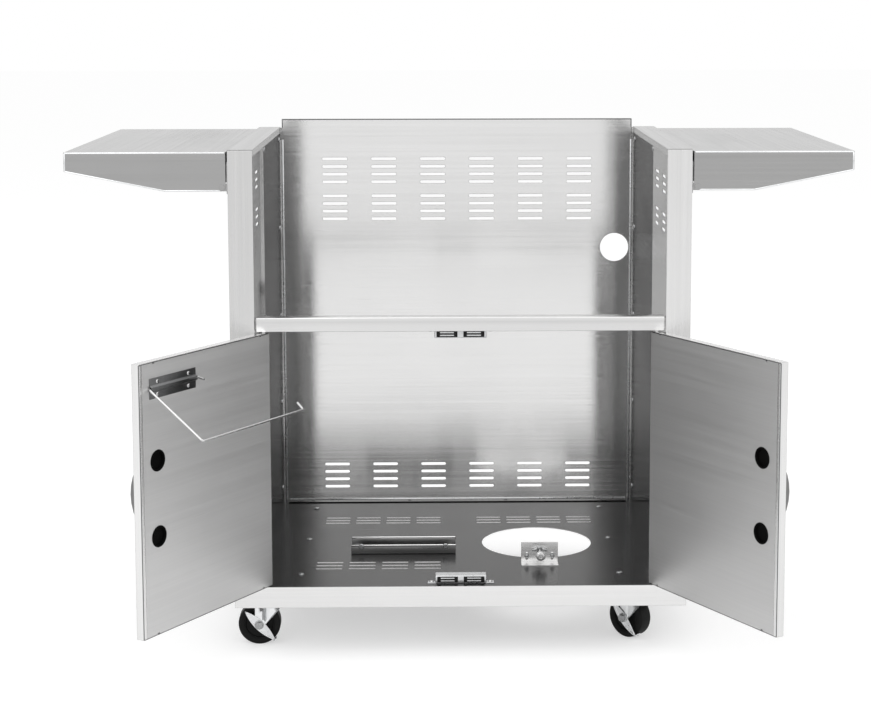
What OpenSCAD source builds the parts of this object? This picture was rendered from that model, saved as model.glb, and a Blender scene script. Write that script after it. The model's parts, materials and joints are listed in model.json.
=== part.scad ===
// Stainless steel griddle cart: two side boxes on a folded base, a vented back,
// an open bay above the front rail, a cupboard with two doors below it, folding
// side shelves and four swivel casters. Millimetres, +Z up, front faces -Y.
// The doors are drawn open and the shelves up. The origin is on the ground, at
// the middle of the cart in this position.

/* [Cart] */
// Width over the two side boxes
cart_w = 850; // [800:1:980]
// Depth of the side boxes
cart_d = 642; // [600:1:760]
// Height of the side boxes above the floor panel, caps included
box_h = 820.5; // [790:0.5:900]
// Width of each side box
box_w = 45.4; // [40:0.1:56]
// Rise of the back panel above the caps
back_rise = 17.3; // [8:0.1:40]
// Gap between a side box and the edge of the back panel
back_side_gap = 3.2; // [1:0.1:5]
// Distance from the box backs to the front of the back panel
back_set = 5.7; // [3:0.1:12]
// Depth of the foot flange of the back panel
back_foot = 26; // [15:0.5:32]
// Thickness of the body sheet
sheet_t = 1.2; // [0.8:0.1:1.5]

/* [Base] */
// Height of the caster mounting face above the ground
caster_h = 101; // [99:0.5:110]
// Height of the caster channels
channel_h = 24; // [20:0.5:34]
// Width of the caster channels
channel_w = 75; // [68:1:84]
// Width of each channel flange
channel_lip = 15; // [13:0.5:20]
// Thickness of the floor panel and channels
base_t = 1.5; // [1:0.1:2]
// Height of the base skirt
skirt_h = 40; // [34:0.5:41]
// Width of the inward hem under the skirt
skirt_hem = 10; // [6:0.5:12]
// Set-back of the base from the box sides
base_inset_x = 1.3; // [0:0.1:4]
// Set-back of the base from the box fronts and backs
base_inset_y = 0.9; // [0:0.1:2]

/* [Floor openings] */
// Diameter of the gas bottle hole
tank_d = 220.4; // [200:0.1:230]
// Position of the gas bottle hole to the right of the middle
tank_x = 156; // [130:1:180]
// Position of the gas bottle hole behind the box fronts
tank_y = 294.5; // [285:0.5:310]
// Length of a floor slot
floor_slot_l = 52; // [40:0.5:58]
// Pitch of the floor slots across the cart
floor_pitch_x = 63.3; // [60:0.1:70]
// Pitch of the floor slots front to back
floor_pitch_y = 20.5; // [16:0.1:24]
// Middle of the front row of floor slots
floor_row_front = 137.6; // [120:0.1:150]
// Middle of the rear rows of floor slots
floor_row_rear = 464; // [455:0.5:500]

/* [Vents] */
// Length of a vent slot
slot_l = 54; // [40:0.5:60]
// Width of a vent slot
slot_w = 6; // [4:0.1:8]
// Pitch of the vent columns
vent_pitch_x = 105.35; // [95:0.05:112]
// Pitch of the vent rows in the back panel
vent_pitch_z = 16.6; // [13:0.1:20]
// Height above the floor of the lowest vent group in the back panel
vent_low = 55.1; // [45:0.1:80]
// Distances from the cap top to the two upper vent groups in the back panel
vent_mid_drop = 173.9; // [160:0.1:190]
vent_high_drop = 93.7; // [80:0.1:100]
// Pitch of the vent rows in the side boxes
side_vent_pitch = 14.2; // [11:0.1:18]
// Distances from the cap top to the vent groups in the side boxes
side_vent_drop_low = 141; // [125:0.5:180]
side_vent_drop_high = 69.6; // [55:0.1:80]
// Distance from the box front to the first side vents
side_vent_y = 56; // [40:1:70]
// Pitch of the side vent columns
side_vent_step = 114; // [100:0.5:120]
// Diameter of the hose hole in the back panel
hose_d = 61.6; // [40:0.1:62]
// Position of the hose hole to the right of the middle
hose_x = 340.5; // [300:0.5:341]
// Distance from the cap top to the middle of the hose hole
hose_drop = 262.1; // [235:0.1:270]
// Length of the window in the outer wall of a side box
window_l = 190; // [120:1:200]
// Height of the window in the outer wall of a side box
window_h = 130; // [80:1:140]
// Middle of the window behind the box fronts
window_y = 499; // [480:1:505]
// Distance from the cap top to the middle of the window
window_drop = 146; // [144.5:0.5:180]

/* [Side boxes] */
// Depth of the front liner of a side box
liner_d = 238; // [220:1:260]
// Set-back of the left vent liner behind the cap lip
left_liner_set = 8; // [3:0.5:12]
// Overlap of the inner panel behind the front liner
liner_lap = 12; // [6:1:20]
// Height of the inner lip of a cap
cap_lip = 12.5; // [8:0.1:18]
// Width of the rear flange of an inner panel past the box face
rear_flange = 6.6; // [5:0.1:8]
// Distance from the cap top to the rear flange
flange_drop = 27; // [20:0.5:40]
// Width of the bottom flanges
foot_flange = 18; // [12:0.5:24]
// Distance from the cap top to the highest wall screw
wall_screw_top = 24.7; // [22:0.1:60]
// Height of the lowest wall screw above the floor
wall_screw_low = 37; // [25:0.5:50]
// Distance from the back panel to the wall screws
wall_screw_set = 36; // [24:0.5:60]

/* [Rail and doors] */
// Height of the door opening between the floor and the rail
opening_h = 483.9; // [450:0.1:500]
// Height of the front rail
rail_h = 26.3; // [20:0.1:30]
// Depth of the front rail
rail_d = 27; // [22:0.5:40]
// Set-back of the front rail
rail_set = 1.3; // [0:0.1:3]
// Gap between each rail end and the side box
rail_end_gap = 2.6; // [1:0.1:4]
// Thickness of a door
door_t = 16; // [14:0.5:18]
// Set-back of the closed doors
door_set = 0.7; // [0:0.1:1.2]
// Gap between the closed doors
door_gap = 3; // [2:0.1:6]
// Gap under the doors
door_gap_low = 1.5; // [1.5:0.1:4]
// Gap above the doors
door_gap_high = 2; // [2:0.1:5]
// Distance from the side box to the door pivot
pivot_side = 16.1; // [15:0.1:20]
// Distance from the box front to the door pivot
pivot_y = 8; // [7.5:0.1:9]
// Distance from the door pivot to the door's hinge edge
pivot_edge = 6; // [5:0.1:7]
// Diameter of the door pivot pins
pivot_d = 5; // [4:0.1:6]
// Opening angle of the left door as drawn
door_angle = 121.6; // [90:0.1:124]
// Opening angle of the right door as drawn
right_door_angle = 120.3; // [90:0.1:124]
// Width of the skin's return on the inside of the free edge
door_return = 8; // [5:0.5:12]
// Diameter of the access holes in the door liners
access_d = 35; // [28:0.5:40]
// Distance from the door's hinge edge to the access holes
access_s = 323; // [300:1:330]
// Spacing of the access holes and of the handle feet
handle_pitch = 133.4; // [110:0.1:150]
// Diameter of the handle bar
handle_d = 10; // [8:0.5:12]
// Projection of the handle
handle_out = 45; // [35:0.5:55]

/* [Towel holder] */
// Diameter of the towel wire
wire_d = 4; // [3.5:0.1:6]
// Length of the wire's arm
wire_arm = 136; // [110:1:150]
// Angle of the arm below the horizontal as drawn
wire_angle = 33.6; // [10:0.1:60]
// Length of the wire's bar
wire_bar = 288; // [240:1:300]
// Length of the bracket on the door
bracket_l = 124; // [110:1:144]
// Height of the bracket on the door
bracket_h = 36; // [36:0.5:50]
// Distance from the door's hinge edge to the middle of the bracket
bracket_s = 279.8; // [240:0.1:285]
// Distance from the door's top edge to the middle of the bracket
bracket_drop = 46.6; // [40:0.1:80]

/* [Magnetic catches] */
// Width of a catch case
catch_w = 96.6; // [92:0.1:110]
// Depth of a catch case
catch_d = 24.6; // [20:0.1:30]
// Height of a catch case
catch_h = 15; // [14:0.5:18]
// Width of a magnet
magnet_w = 38.6; // [30:0.1:40]
// Gap between a closed door and the catch
catch_gap = 0.3; // [0.3:0.1:1]

/* [Floor rail and bottle clamp] */
// Length of the floor rail
bin_l = 207; // [150:1:230]
// Width of the floor rail
bin_w = 37; // [24:0.5:40]
// Height of the front wall of the floor rail
bin_front_h = 18.7; // [15:0.1:24]
// Height of the rear wall of the floor rail
bin_rear_h = 25; // [18:0.1:36]
// Right end of the floor rail, to the left of the middle
bin_x = 8; // [0:1:20]
// Front of the floor rail behind the box fronts
bin_y = 215; // [200:0.5:230]
// Width of the clamp bracket
clamp_w = 71.8; // [60:0.1:80]
// Height of the clamp bracket
clamp_h = 41; // [38:0.5:46]
// Depth of the clamp bracket's foot
clamp_foot_d = 24; // [18:0.5:28]
// Distance from the clamp bracket to the rim of the bottle hole
clamp_set = 34.5; // [30:0.5:36]
// Thickness of the clamp bracket
clamp_t = 2; // [1.5:0.1:3]
// Height of the clamp screw above the floor
clamp_z = 26.5; // [24:0.1:28]
// Diameter of the clamp screw
clamp_d = 6; // [5:0.1:8]
// Length of the clamp screw in front of the bracket
clamp_reach = 50; // [40:0.5:56]
// Diameter of the clamp screw's knob
knob_d = 17.5; // [14:0.1:22]

/* [Shelves] */
// Length of a shelf from the side box
shelf_l = 297.2; // [260:0.1:330]
// Height of the shelf tops below the caps
shelf_drop = 4.3; // [2:0.1:10]
// Height of a shelf next to the side box
shelf_h_in = 71.5; // [60:0.1:80]
// Height of a shelf at its outer end
shelf_h_out = 34.4; // [28:0.1:50]
// Length of the level part of a shelf's lower edge
shelf_flat = 114.7; // [80:0.1:140]
// Gap between a shelf and the side box
shelf_gap = 3.3; // [2.5:0.1:5]
// Distance from the shelf's lower corner to its pivot, both ways
shelf_pivot = 7; // [6:0.1:9]

/* [Casters] */
// Diameter of a wheel
wheel_d = 80; // [72:0.5:80]
// Width of a wheel
wheel_w = 32; // [20:0.5:34]
// Distance from the swivel axis to the wheel's axle
trail = 33; // [28:0.5:36]
// Distance from the box sides to the swivel axes
caster_in_x = 75; // [66:0.5:76]
// Distance from the box fronts and backs to the swivel axes
caster_in_y = 65; // [61:0.5:80]
// Turn of the front left caster
turn_fl = 1; // [-180:0.1:180]
// Turn of the front right caster
turn_fr = -45; // [-180:0.1:180]
// Turn of the rear left caster
turn_rl = 14; // [-180:0.1:180]
// Turn of the rear right caster
turn_rr = 158; // [-180:0.1:180]

/* [Hidden] */

$fn = 48;
// Small overshoot of a cutting shape past the face it cuts
over = 1;
// Radial clearance of a turning pin in its bore
run_gap = 0.05;
// Radial clearance of a fixed screw in its hole
screw_gap = 0.2;
// Gap between faces that slide past each other
face_gap = 0.3;

half_w = cart_w / 2;
inner_x = half_w - box_w;
floor_z = caster_h + channel_h + base_t;
cap_z = floor_z + box_h;
rail_z = floor_z + opening_h;
back_y = cart_d - back_set;
back_half = inner_x - back_side_gap;
base_half = half_w - base_inset_x;
base_front = base_inset_y;
base_back = cart_d - base_inset_y;

// Screws: radius of the shank, of the head, and the height of the head
screw_r = 1.9;
small_head_r = 4;
small_head_h = 2.2;
wall_head_r = 5.5;
wall_head_h = 2.6;
screw_l = 7;
channel_screw_x = half_w - caster_in_x - channel_w / 2 - channel_lip / 2;
wall_screw_y = back_y - wall_screw_set;
lip_screw_y = liner_d + 8;
lip_screw_z = cap_z - cap_lip - 6.5;
// Share of a pan head's height and radius that its rim keeps
head_rim = 0.55;
head_top = 0.72;

// Doors: they are drawn closed, then swung open about their pivots
pivot_x = inner_x - pivot_side;
door_edge = pivot_x + pivot_edge;
door_free = door_gap / 2;
door_low = floor_z + door_gap_low;
door_high = rail_z - door_gap_high;
door_mid = (door_low + door_high) / 2;
door_in = door_set + door_t;
pivot_boss_r = 5;
pivot_boss_l = 12;
pivot_pin_in = 9;
pivot_collar_r = 4.8;
access_x = door_edge - access_s;
handle_r = handle_d / 2;
handle_foot_r = handle_r + 1;
handle_foot_h = 8;
handle_rise = handle_out - handle_r;
handle_sag = handle_rise - handle_foot_h;
handle_bend = (pow(handle_pitch / 2, 2) + pow(handle_sag, 2)) / (2 * handle_sag);
handle_half_angle = asin(handle_pitch / 2 / handle_bend);
handle_screw_r = 2.4;
handle_screw_l = 6;
plug_rim = 1.5;
plug_rim_t = 1.4;
plug_body = 6;
corner_notch = 28;
notch_w = 5;
notch_d = 1.6;

// Towel holder: the wire turns in the tunnel of the bracket
bracket_x = door_edge - bracket_s;
bracket_mid_z = door_high - bracket_drop;
bracket_t = 1.2;
wire_r = wire_d / 2;
wire_y = door_in + wire_r + face_gap;
tunnel_half = wire_r + face_gap;
rivet_dx = bracket_l / 2 - 20.3;
rivet_dz = (bracket_h / 2 + tunnel_half + bracket_t) / 2;
rivet_r = 1.9;
rivet_head_r = 3.6;
rivet_head_h = 1.2;
wire_end_gap = 0.8;
wire_free_x = bracket_x - bracket_l / 2 - wire_end_gap - wire_r;
wire_stub_x = bracket_x + bracket_l / 2 + wire_end_gap + wire_r;
wire_stub = 15;
wire_hook = 17.5;
wire_lean = 48;
wire_knee = 0.15;

// Catches: the lower one stands on the floor, the upper one hangs from the rail
catch_y = door_in + catch_gap;
catch_t = 1.5;
catch_ear = 14;
catch_ear_d = 15;
magnet_h = catch_h - 2 * catch_t;
magnet_x = catch_w / 4 + 0.8;
magnet_depth = 18;
pole_w = 26;
pole_h = 2.4;
pole_dz = 2.6;
pole_t = 1.6;

// Bottle clamp
clamp_x = tank_x - 1;
clamp_y = tank_y - tank_d / 2 - clamp_set;
clamp_axis_z = floor_z + clamp_z;
clamp_r = clamp_d / 2;
clamp_slot_x = 24.7;
clamp_slot_w = 5.6;
clamp_slot_h = 16;
clamp_slot_z = floor_z + 13.5;
nut_r = 7.4;
nut_h = 6;
wing_l = 12.5;
wing_t = 3;
wing_h = 9;
knob_t = 9;
pad_r = 5;
pad_t = 7;
pad_socket = 4;
pad_y = clamp_y + clamp_t + 20;
tip_r = 2;

// Floor rail
bin_screw_in = 20;
bin_screw_drop = 3.2;

// Shelves: a folded tray that turns about a pin near its lower inner corner
shelf_top_z = cap_z - shelf_drop;
shelf_low_z = shelf_top_z - shelf_h_in;
shelf_in_x = half_w + shelf_gap;
shelf_out_x = half_w + shelf_l;
shelf_px = shelf_in_x + shelf_pivot;
shelf_pz = shelf_low_z + shelf_pivot;
shelf_pin_r = 3;
shelf_pin_head_r = 5.5;
shelf_pin_head_t = 1.2;
shelf_lip = 56;
bracket_plate_t = 1.6;
ear_t = 2.5;
ear_gap = 0.5;
shelf_bracket_w = 30;
shelf_bracket_up = 46;
shelf_bracket_down = 12;

// Casters
caster_x = half_w - caster_in_x;
wheel_r = wheel_d / 2;
plate_t = 3;
plate_l = 94;
plate_w = 64;
bolt_dx = 22.5;
bolt_dy = 37.5;
bolt_r = 4;
bolt_head_r = 7.2;
bolt_head_h = 5.3;
bolt_nut_h = 6.5;
race_r = 26;
race_h = 6;
cup_r = 23;
cup_h = 6.7;
crown_t = 3;
crown_top = caster_h - plate_t - race_h - face_gap - cup_h;
crown_z = crown_top - crown_t;
kingpin_r = 5;
kingpin_head_r = 8;
kingpin_head_h = 3;
axle_r = 4;
leg_gap = wheel_w / 2 + 1.5;
leg_t = 2.5;
leg_out = leg_gap + leg_t;
leg_boss_r = 10;
leg_back = 8;
leg_front = 17;
brake_t = 2;
brake_r = 9.5;
brake_y = -leg_out - face_gap - brake_t;
brake_angle = -47;
brake_low = wheel_r + 2;
brake_high = 37;
pedal_w = 13;
axle_head_h = 5;
axle_head_r = 7.2;
axle_in = brake_y - face_gap;

// The towel wire or the doors reach furthest to the front, the shelf pins
// furthest to the back
function swung_y(x, y) = pivot_y - (pivot_x - x) * sin(door_angle)
    + (y - pivot_y) * cos(door_angle);
wire_reach = swung_y(wire_free_x, wire_y + wire_arm * cos(wire_angle)) - wire_r - wire_knee;
front_reach = min(wire_reach, swung_y(door_free, door_in));
back_reach = cart_d + shelf_pin_head_t;
mid_y = (front_reach + back_reach) / 2;

// Moves the cart so that its middle is at the origin
module framed() {
    translate([0, -mid_y, 0])
        children();
}

// Draws a right-hand piece as it is (side 1) or mirrored to the left (side -1)
module on_side(side) {
    framed()
        mirror([side < 0 ? 1 : 0, 0, 0])
            children();
}

// Swings a piece of the closed right-hand door open, on either side
module on_door(side) {
    on_side(side)
        translate([pivot_x, pivot_y, 0])
            rotate([0, 0, side < 0 ? door_angle : right_door_angle])
                translate([-pivot_x, -pivot_y, 0])
                    children();
}

// Draws a piece at the front and its mirror image at the back
module front_and_back() {
    children();
    translate([0, cart_d, 0])
        mirror([0, 1, 0])
            children();
}

// A box between two corners
module block(x0, x1, y0, y1, z0, z1) {
    translate([x0, y0, z0])
        cube([x1 - x0, y1 - y0, z1 - z0]);
}

// A flat slot with round ends, along X
module slot_shape(l, w) {
    square([l - w, w], center = true);
    for (end = [-1, 1])
        translate([end * (l - w) / 2, 0])
            circle(d = w);
}

// A slot cutter along X that cuts down through Z
module slot_down(l, w, t) {
    translate([0, 0, -t - over])
        linear_extrude(t + 2 * over)
            slot_shape(l, w);
}

// A slot cutter along X that cuts back through Y
module slot_back(l, w, t) {
    translate([0, t + over, 0])
        rotate([90, 0, 0])
            linear_extrude(t + 2 * over)
                slot_shape(l, w);
}

// A slot cutter along Y that cuts outwards through X
module slot_side(l, w, t) {
    translate([-over, 0, 0])
        rotate([90, 0, 90])
            linear_extrude(t + 2 * over)
                slot_shape(l, w);
}

// A pan head screw: head above z = 0, shank below it
module pan_screw(head_r, head_h, shank_r, shank_l) {
    cylinder(r = head_r, h = head_h * head_rim);
    translate([0, 0, head_h * head_rim])
        cylinder(r1 = head_r, r2 = head_r * head_top, h = head_h * (1 - head_rim));
    translate([0, 0, -shank_l])
        cylinder(r = shank_r, h = shank_l);
}

// Inner face of a vent liner, on the right (side 1) or mirrored on the left (side -1)
function liner_x(side) = inner_x + (side < 0 ? left_liner_set : 0);

// Places of the floor screws over the right-hand channel's inner flange
function channel_screw_y() = [for (k = [-1, 0, 1]) cart_d / 2 + k * (cart_d / 2 - 80)];

// Places of the wall screws up the right-hand inner panel
wall_screw_step = (box_h - wall_screw_low - wall_screw_top) / 4;
function wall_screw_z() = [for (k = [0:4]) floor_z + wall_screw_low + k * wall_screw_step];

// Base

module base_tray() {
    color("silver")
        framed()
            difference() {
                block(-base_half, base_half, base_front, base_back, floor_z - skirt_h, floor_z);
                block(-base_half + base_t, base_half - base_t, base_front + base_t,
                    base_back - base_t, floor_z - skirt_h + base_t, floor_z - base_t);
                block(-base_half + skirt_hem, base_half - skirt_hem, base_front + skirt_hem,
                    base_back - skirt_hem, floor_z - skirt_h - over, floor_z - base_t);
                translate([tank_x, tank_y, floor_z - base_t - over])
                    cylinder(d = tank_d, h = base_t + 2 * over, $fn = 96);
                floor_slots();
                for (side = [-1, 1]) {
                    translate([side * pivot_x, pivot_y, floor_z - base_t - over])
                        cylinder(r = pivot_d / 2 + screw_gap, h = base_t + 2 * over);
                    translate([side * (catch_w / 2 + catch_ear / 2), catch_y + catch_ear_d / 2,
                        floor_z - base_t - over])
                        cylinder(r = screw_r + screw_gap, h = base_t + 2 * over);
                    for (y = channel_screw_y())
                        translate([side * channel_screw_x, y, floor_z - base_t - over])
                            cylinder(r = screw_r + screw_gap, h = base_t + 2 * over);
                }
            }
}

module floor_slots() {
    for (k = [1:4], row = [-1, 0, 1]) {
        translate([-k * floor_pitch_x, floor_row_front + row * floor_pitch_y, floor_z])
            slot_down(floor_slot_l, slot_w, base_t);
        for (side = [-1, 1])
            translate([side * k * floor_pitch_x, floor_row_rear + row * floor_pitch_y, floor_z])
                slot_down(floor_slot_l, slot_w, base_t);
    }
}

// Hat section of a caster channel, with its flanges up against the floor panel
module channel_shape() {
    w = channel_w / 2;
    h = channel_h;
    polygon([
        [-w - channel_lip, h], [-w - channel_lip, h - base_t], [-w, h - base_t], [-w, 0],
        [w, 0], [w, h - base_t], [w + channel_lip, h - base_t], [w + channel_lip, h],
        [w - base_t, h], [w - base_t, base_t], [-w + base_t, base_t], [-w + base_t, h]
    ]);
}

module caster_channels() {
    color("gainsboro")
        for (side = [-1, 1])
            on_side(side)
                difference() {
                    translate([caster_x, base_back - base_t - face_gap, caster_h])
                        rotate([90, 0, 0])
                            linear_extrude(base_back - base_front - 2 * (base_t + face_gap))
                                channel_shape();
                    for (y = channel_screw_y())
                        translate([channel_screw_x, y, caster_h + channel_h - base_t - over])
                            cylinder(r = screw_r + screw_gap, h = base_t + 2 * over);
                    front_and_back()
                        translate([caster_x, caster_in_y, caster_h - over])
                            bolt_places()
                                cylinder(r = bolt_r + screw_gap, h = base_t + 2 * over);
                }
}

// Side boxes

module side_skin(side) {
    color("gainsboro")
        on_side(side)
            difference() {
                union() {
                    block(half_w - sheet_t, half_w, 0, cart_d, floor_z, cap_z - sheet_t);
                    block(inner_x, half_w, 0, sheet_t, floor_z, cap_z - sheet_t);
                    block(back_half + face_gap, half_w, cart_d - sheet_t, cart_d, floor_z,
                        cap_z - sheet_t);
                    block(half_w - foot_flange, half_w, 0, cart_d, floor_z, floor_z + sheet_t);
                }
                translate([half_w - sheet_t - over, window_y, cap_z - window_drop])
                    rotate([90, 0, 90])
                        linear_extrude(sheet_t + 2 * over)
                            window_shape();
            }
}

// Window with round corners in the outer wall
module window_shape() {
    r = 18;
    square([window_l - 2 * r, window_h], center = true);
    square([window_l, window_h - 2 * r], center = true);
    for (a = [-1, 1], b = [-1, 1])
        translate([a * (window_l / 2 - r), b * (window_h / 2 - r)])
            circle(r = r);
}

module left_side_skin() {
    side_skin(-1);
}

module right_side_skin() {
    side_skin(1);
}

module vent_liner(side) {
    face_x = liner_x(side);
    top = side < 0 ? cap_z - sheet_t : cap_z - cap_lip;
    color("silver")
        on_side(side)
            difference() {
                block(face_x, face_x + sheet_t, sheet_t, liner_d, floor_z, top);
                for (column = [0, 1], z = [side_vent_drop_low, side_vent_drop_high], row = [-1, 0, 1])
                    translate([face_x, side_vent_y + column * side_vent_step,
                        cap_z - z + row * side_vent_pitch])
                        slot_side(slot_l, slot_w, sheet_t);
            }
}

module left_vent_liner() {
    vent_liner(-1);
}

module right_vent_liner() {
    vent_liner(1);
}

module inner_panel(side) {
    face_x = inner_x + sheet_t;
    lap_x = liner_x(side) + sheet_t;
    color("darkgray")
        on_side(side)
            difference() {
                union() {
                    block(face_x, face_x + sheet_t, liner_d, back_y, floor_z, cap_z - sheet_t);
                    block(face_x, lap_x + sheet_t, liner_d, liner_d + sheet_t, floor_z,
                        cap_z - sheet_t);
                    block(lap_x, lap_x + sheet_t, liner_d - liner_lap, liner_d + sheet_t,
                        floor_z, cap_z - sheet_t);
                    block(inner_x - rear_flange, face_x + sheet_t, back_y - sheet_t, back_y,
                        floor_z, cap_z - flange_drop);
                    block(face_x, face_x + foot_flange, liner_d, back_y, floor_z,
                        floor_z + sheet_t);
                }
                for (z = wall_screw_z())
                    translate([face_x - over, wall_screw_y, z])
                        rotate([0, 90, 0])
                            cylinder(r = screw_r + screw_gap, h = sheet_t + 2 * over);
                translate([face_x - over, lip_screw_y, lip_screw_z])
                    rotate([0, 90, 0])
                        cylinder(r = screw_r + screw_gap, h = sheet_t + 2 * over);
            }
}

module left_inner_panel() {
    inner_panel(-1);
}

module right_inner_panel() {
    inner_panel(1);
}

module top_cap(side) {
    color("lightgray")
        on_side(side) {
            block(inner_x, half_w, 0, cart_d, cap_z - sheet_t, cap_z);
            block(inner_x, inner_x + sheet_t, sheet_t, cart_d - sheet_t, cap_z - cap_lip, cap_z);
        }
}

module left_top_cap() {
    top_cap(-1);
}

module right_top_cap() {
    top_cap(1);
}

// Back panel and front rail

module back_panel() {
    top = cap_z + back_rise;
    foot_half = inner_x - rear_flange - face_gap;
    color("silver")
        framed()
            difference() {
                union() {
                    block(-back_half, back_half, back_y, back_y + sheet_t, floor_z, top);
                    block(-back_half, back_half, back_y, cart_d, top - sheet_t, top);
                    block(-foot_half, foot_half, back_y - back_foot, back_y, floor_z,
                        floor_z + sheet_t);
                    for (side = [-1, 1])
                        translate([side * (back_half - sheet_t / 2), 0, 0])
                            block(-sheet_t / 2, sheet_t / 2, back_y, cart_d, floor_z, top);
                }
                for (column = [-2.5:2.5], row = [-1.5:1.5],
                    z = [floor_z + vent_low, cap_z - vent_mid_drop, cap_z - vent_high_drop])
                    translate([column * vent_pitch_x, back_y, z + row * vent_pitch_z])
                        slot_back(slot_l, slot_w, sheet_t);
                translate([hose_x, back_y + sheet_t + over, cap_z - hose_drop])
                    rotate([90, 0, 0])
                        cylinder(d = hose_d, h = sheet_t + 2 * over);
            }
}

module front_rail() {
    half_l = inner_x - rail_end_gap;
    color("whitesmoke")
        framed()
            difference() {
                union() {
                    block(-half_l, half_l, rail_set, rail_set + rail_d, rail_z, rail_z + rail_h);
                    block(-liner_x(-1), liner_x(1), rail_set + 3, rail_set + rail_d - 3,
                        rail_z + 3, rail_z + rail_h - 3);
                }
                block(-half_l + sheet_t, half_l - sheet_t, rail_set + sheet_t,
                    rail_set + rail_d - sheet_t, rail_z + sheet_t, rail_z + rail_h - sheet_t);
                for (side = [-1, 1]) {
                    translate([side * pivot_x, pivot_y, rail_z - over])
                        cylinder(r = pivot_d / 2 + screw_gap, h = sheet_t + 2 * over);
                    translate([side * (catch_w / 2 + catch_ear / 2), catch_y + catch_ear_d / 2,
                        rail_z - over])
                        cylinder(r = screw_r + screw_gap, h = sheet_t + 2 * over);
                }
            }
}

// Pins that the doors turn on, with a collar against the floor or the rail
module door_pivot_pins() {
    color("dimgray")
        for (side = [-1, 1])
            on_side(side)
                translate([pivot_x, pivot_y, 0]) {
                    pivot_pin(floor_z, door_gap_low, base_t);
                    translate([0, 0, rail_z])
                        mirror([0, 0, 1])
                            pivot_pin(0, door_gap_high, sheet_t);
                }
}

module pivot_pin(z, gap, wall_t) {
    translate([0, 0, z]) {
        cylinder(r = pivot_collar_r, h = gap - face_gap);
        cylinder(d = pivot_d, h = gap + pivot_pin_in);
        translate([0, 0, -wall_t - 1.5])
            cylinder(d = pivot_d, h = wall_t + 2);
    }
}

// Magnetic catches

// Draws a piece of the lower catch, and its mirror image under the rail
module at_lower_catch() {
    framed()
        translate([0, catch_y, floor_z])
            children();
}

module at_upper_catch() {
    framed()
        translate([0, catch_y, rail_z])
            mirror([0, 0, 1])
                children();
}

module catch_case() {
    difference() {
        union() {
            block(-catch_w / 2, catch_w / 2, 0, catch_d, 0, catch_h);
            block(-catch_w / 2 - catch_ear, catch_w / 2 + catch_ear, 0, catch_ear_d, 0, catch_t);
        }
        for (side = [-1, 1]) {
            translate([side * magnet_x, 0, 0])
                block(-magnet_w / 2 - screw_gap, magnet_w / 2 + screw_gap, -over,
                    magnet_depth + pole_t, catch_t, catch_h - catch_t);
            translate([side * (catch_w / 2 + catch_ear / 2), catch_ear_d / 2, -over])
                cylinder(r = screw_r + screw_gap, h = catch_t + 2 * over);
        }
    }
}

module top_catch_case() {
    color("gainsboro")
        at_upper_catch()
            catch_case();
}

module bottom_catch_case() {
    color("gainsboro")
        at_lower_catch()
            catch_case();
}

module magnet_pair() {
    for (side = [-1, 1])
        translate([side * magnet_x, 0, 0])
            block(-magnet_w / 2, magnet_w / 2, pole_t, magnet_depth + pole_t, catch_t,
                catch_t + magnet_h);
}

module catch_magnets() {
    color("black") {
        at_upper_catch()
            magnet_pair();
        at_lower_catch()
            magnet_pair();
    }
}

module pole_set() {
    for (side = [-1, 1], row = [-1, 1])
        translate([side * magnet_x, 0, catch_t + magnet_h / 2 + row * pole_dz])
            block(-pole_w / 2, pole_w / 2, 0, pole_t, -pole_h / 2, pole_h / 2);
}

module catch_pole_bars() {
    color("lightgray") {
        at_upper_catch()
            pole_set();
        at_lower_catch()
            pole_set();
    }
}

module ear_screws() {
    for (side = [-1, 1])
        translate([side * (catch_w / 2 + catch_ear / 2), catch_ear_d / 2, catch_t])
            pan_screw(small_head_r, small_head_h, screw_r, screw_l);
}

module catch_screws() {
    color("silver") {
        at_upper_catch()
            ear_screws();
        at_lower_catch()
            ear_screws();
    }
}

// Floor rail, floor screws and wall screws

module bin_rail() {
    color("gray")
        framed()
            translate([-bin_x - bin_l, bin_y, floor_z])
                difference() {
                    union() {
                        block(0, bin_l, 0, bin_w, 0, base_t);
                        block(0, bin_l, 0, base_t, 0, bin_front_h);
                        block(0, bin_l, bin_w - base_t, bin_w, 0, bin_rear_h);
                    }
                    for (x = [bin_screw_in, bin_l - bin_screw_in])
                        translate([x, base_t + over, bin_front_h - bin_screw_drop])
                            rotate([90, 0, 0])
                                cylinder(r = screw_r + screw_gap, h = base_t + 2 * over);
                }
}

module floor_screws() {
    color("whitesmoke") {
        for (side = [-1, 1])
            on_side(side)
                for (y = channel_screw_y())
                    translate([channel_screw_x, y, floor_z])
                        pan_screw(wall_head_r, wall_head_h, screw_r, screw_l);
        framed()
            for (x = [bin_screw_in, bin_l - bin_screw_in])
                translate([x - bin_x - bin_l, bin_y, floor_z + bin_front_h - bin_screw_drop])
                    rotate([90, 0, 0])
                        pan_screw(wall_head_r, wall_head_h, screw_r, screw_l);
    }
}

module wall_screws() {
    color("whitesmoke")
        for (side = [-1, 1])
            on_side(side) {
                for (z = wall_screw_z())
                    translate([inner_x + sheet_t, wall_screw_y, z])
                        rotate([0, -90, 0])
                            pan_screw(wall_head_r, wall_head_h, screw_r, screw_l);
                translate([inner_x + sheet_t, lip_screw_y, lip_screw_z])
                    rotate([0, -90, 0])
                        pan_screw(small_head_r, small_head_h, screw_r, screw_l);
            }
}

// Bottle clamp

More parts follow.
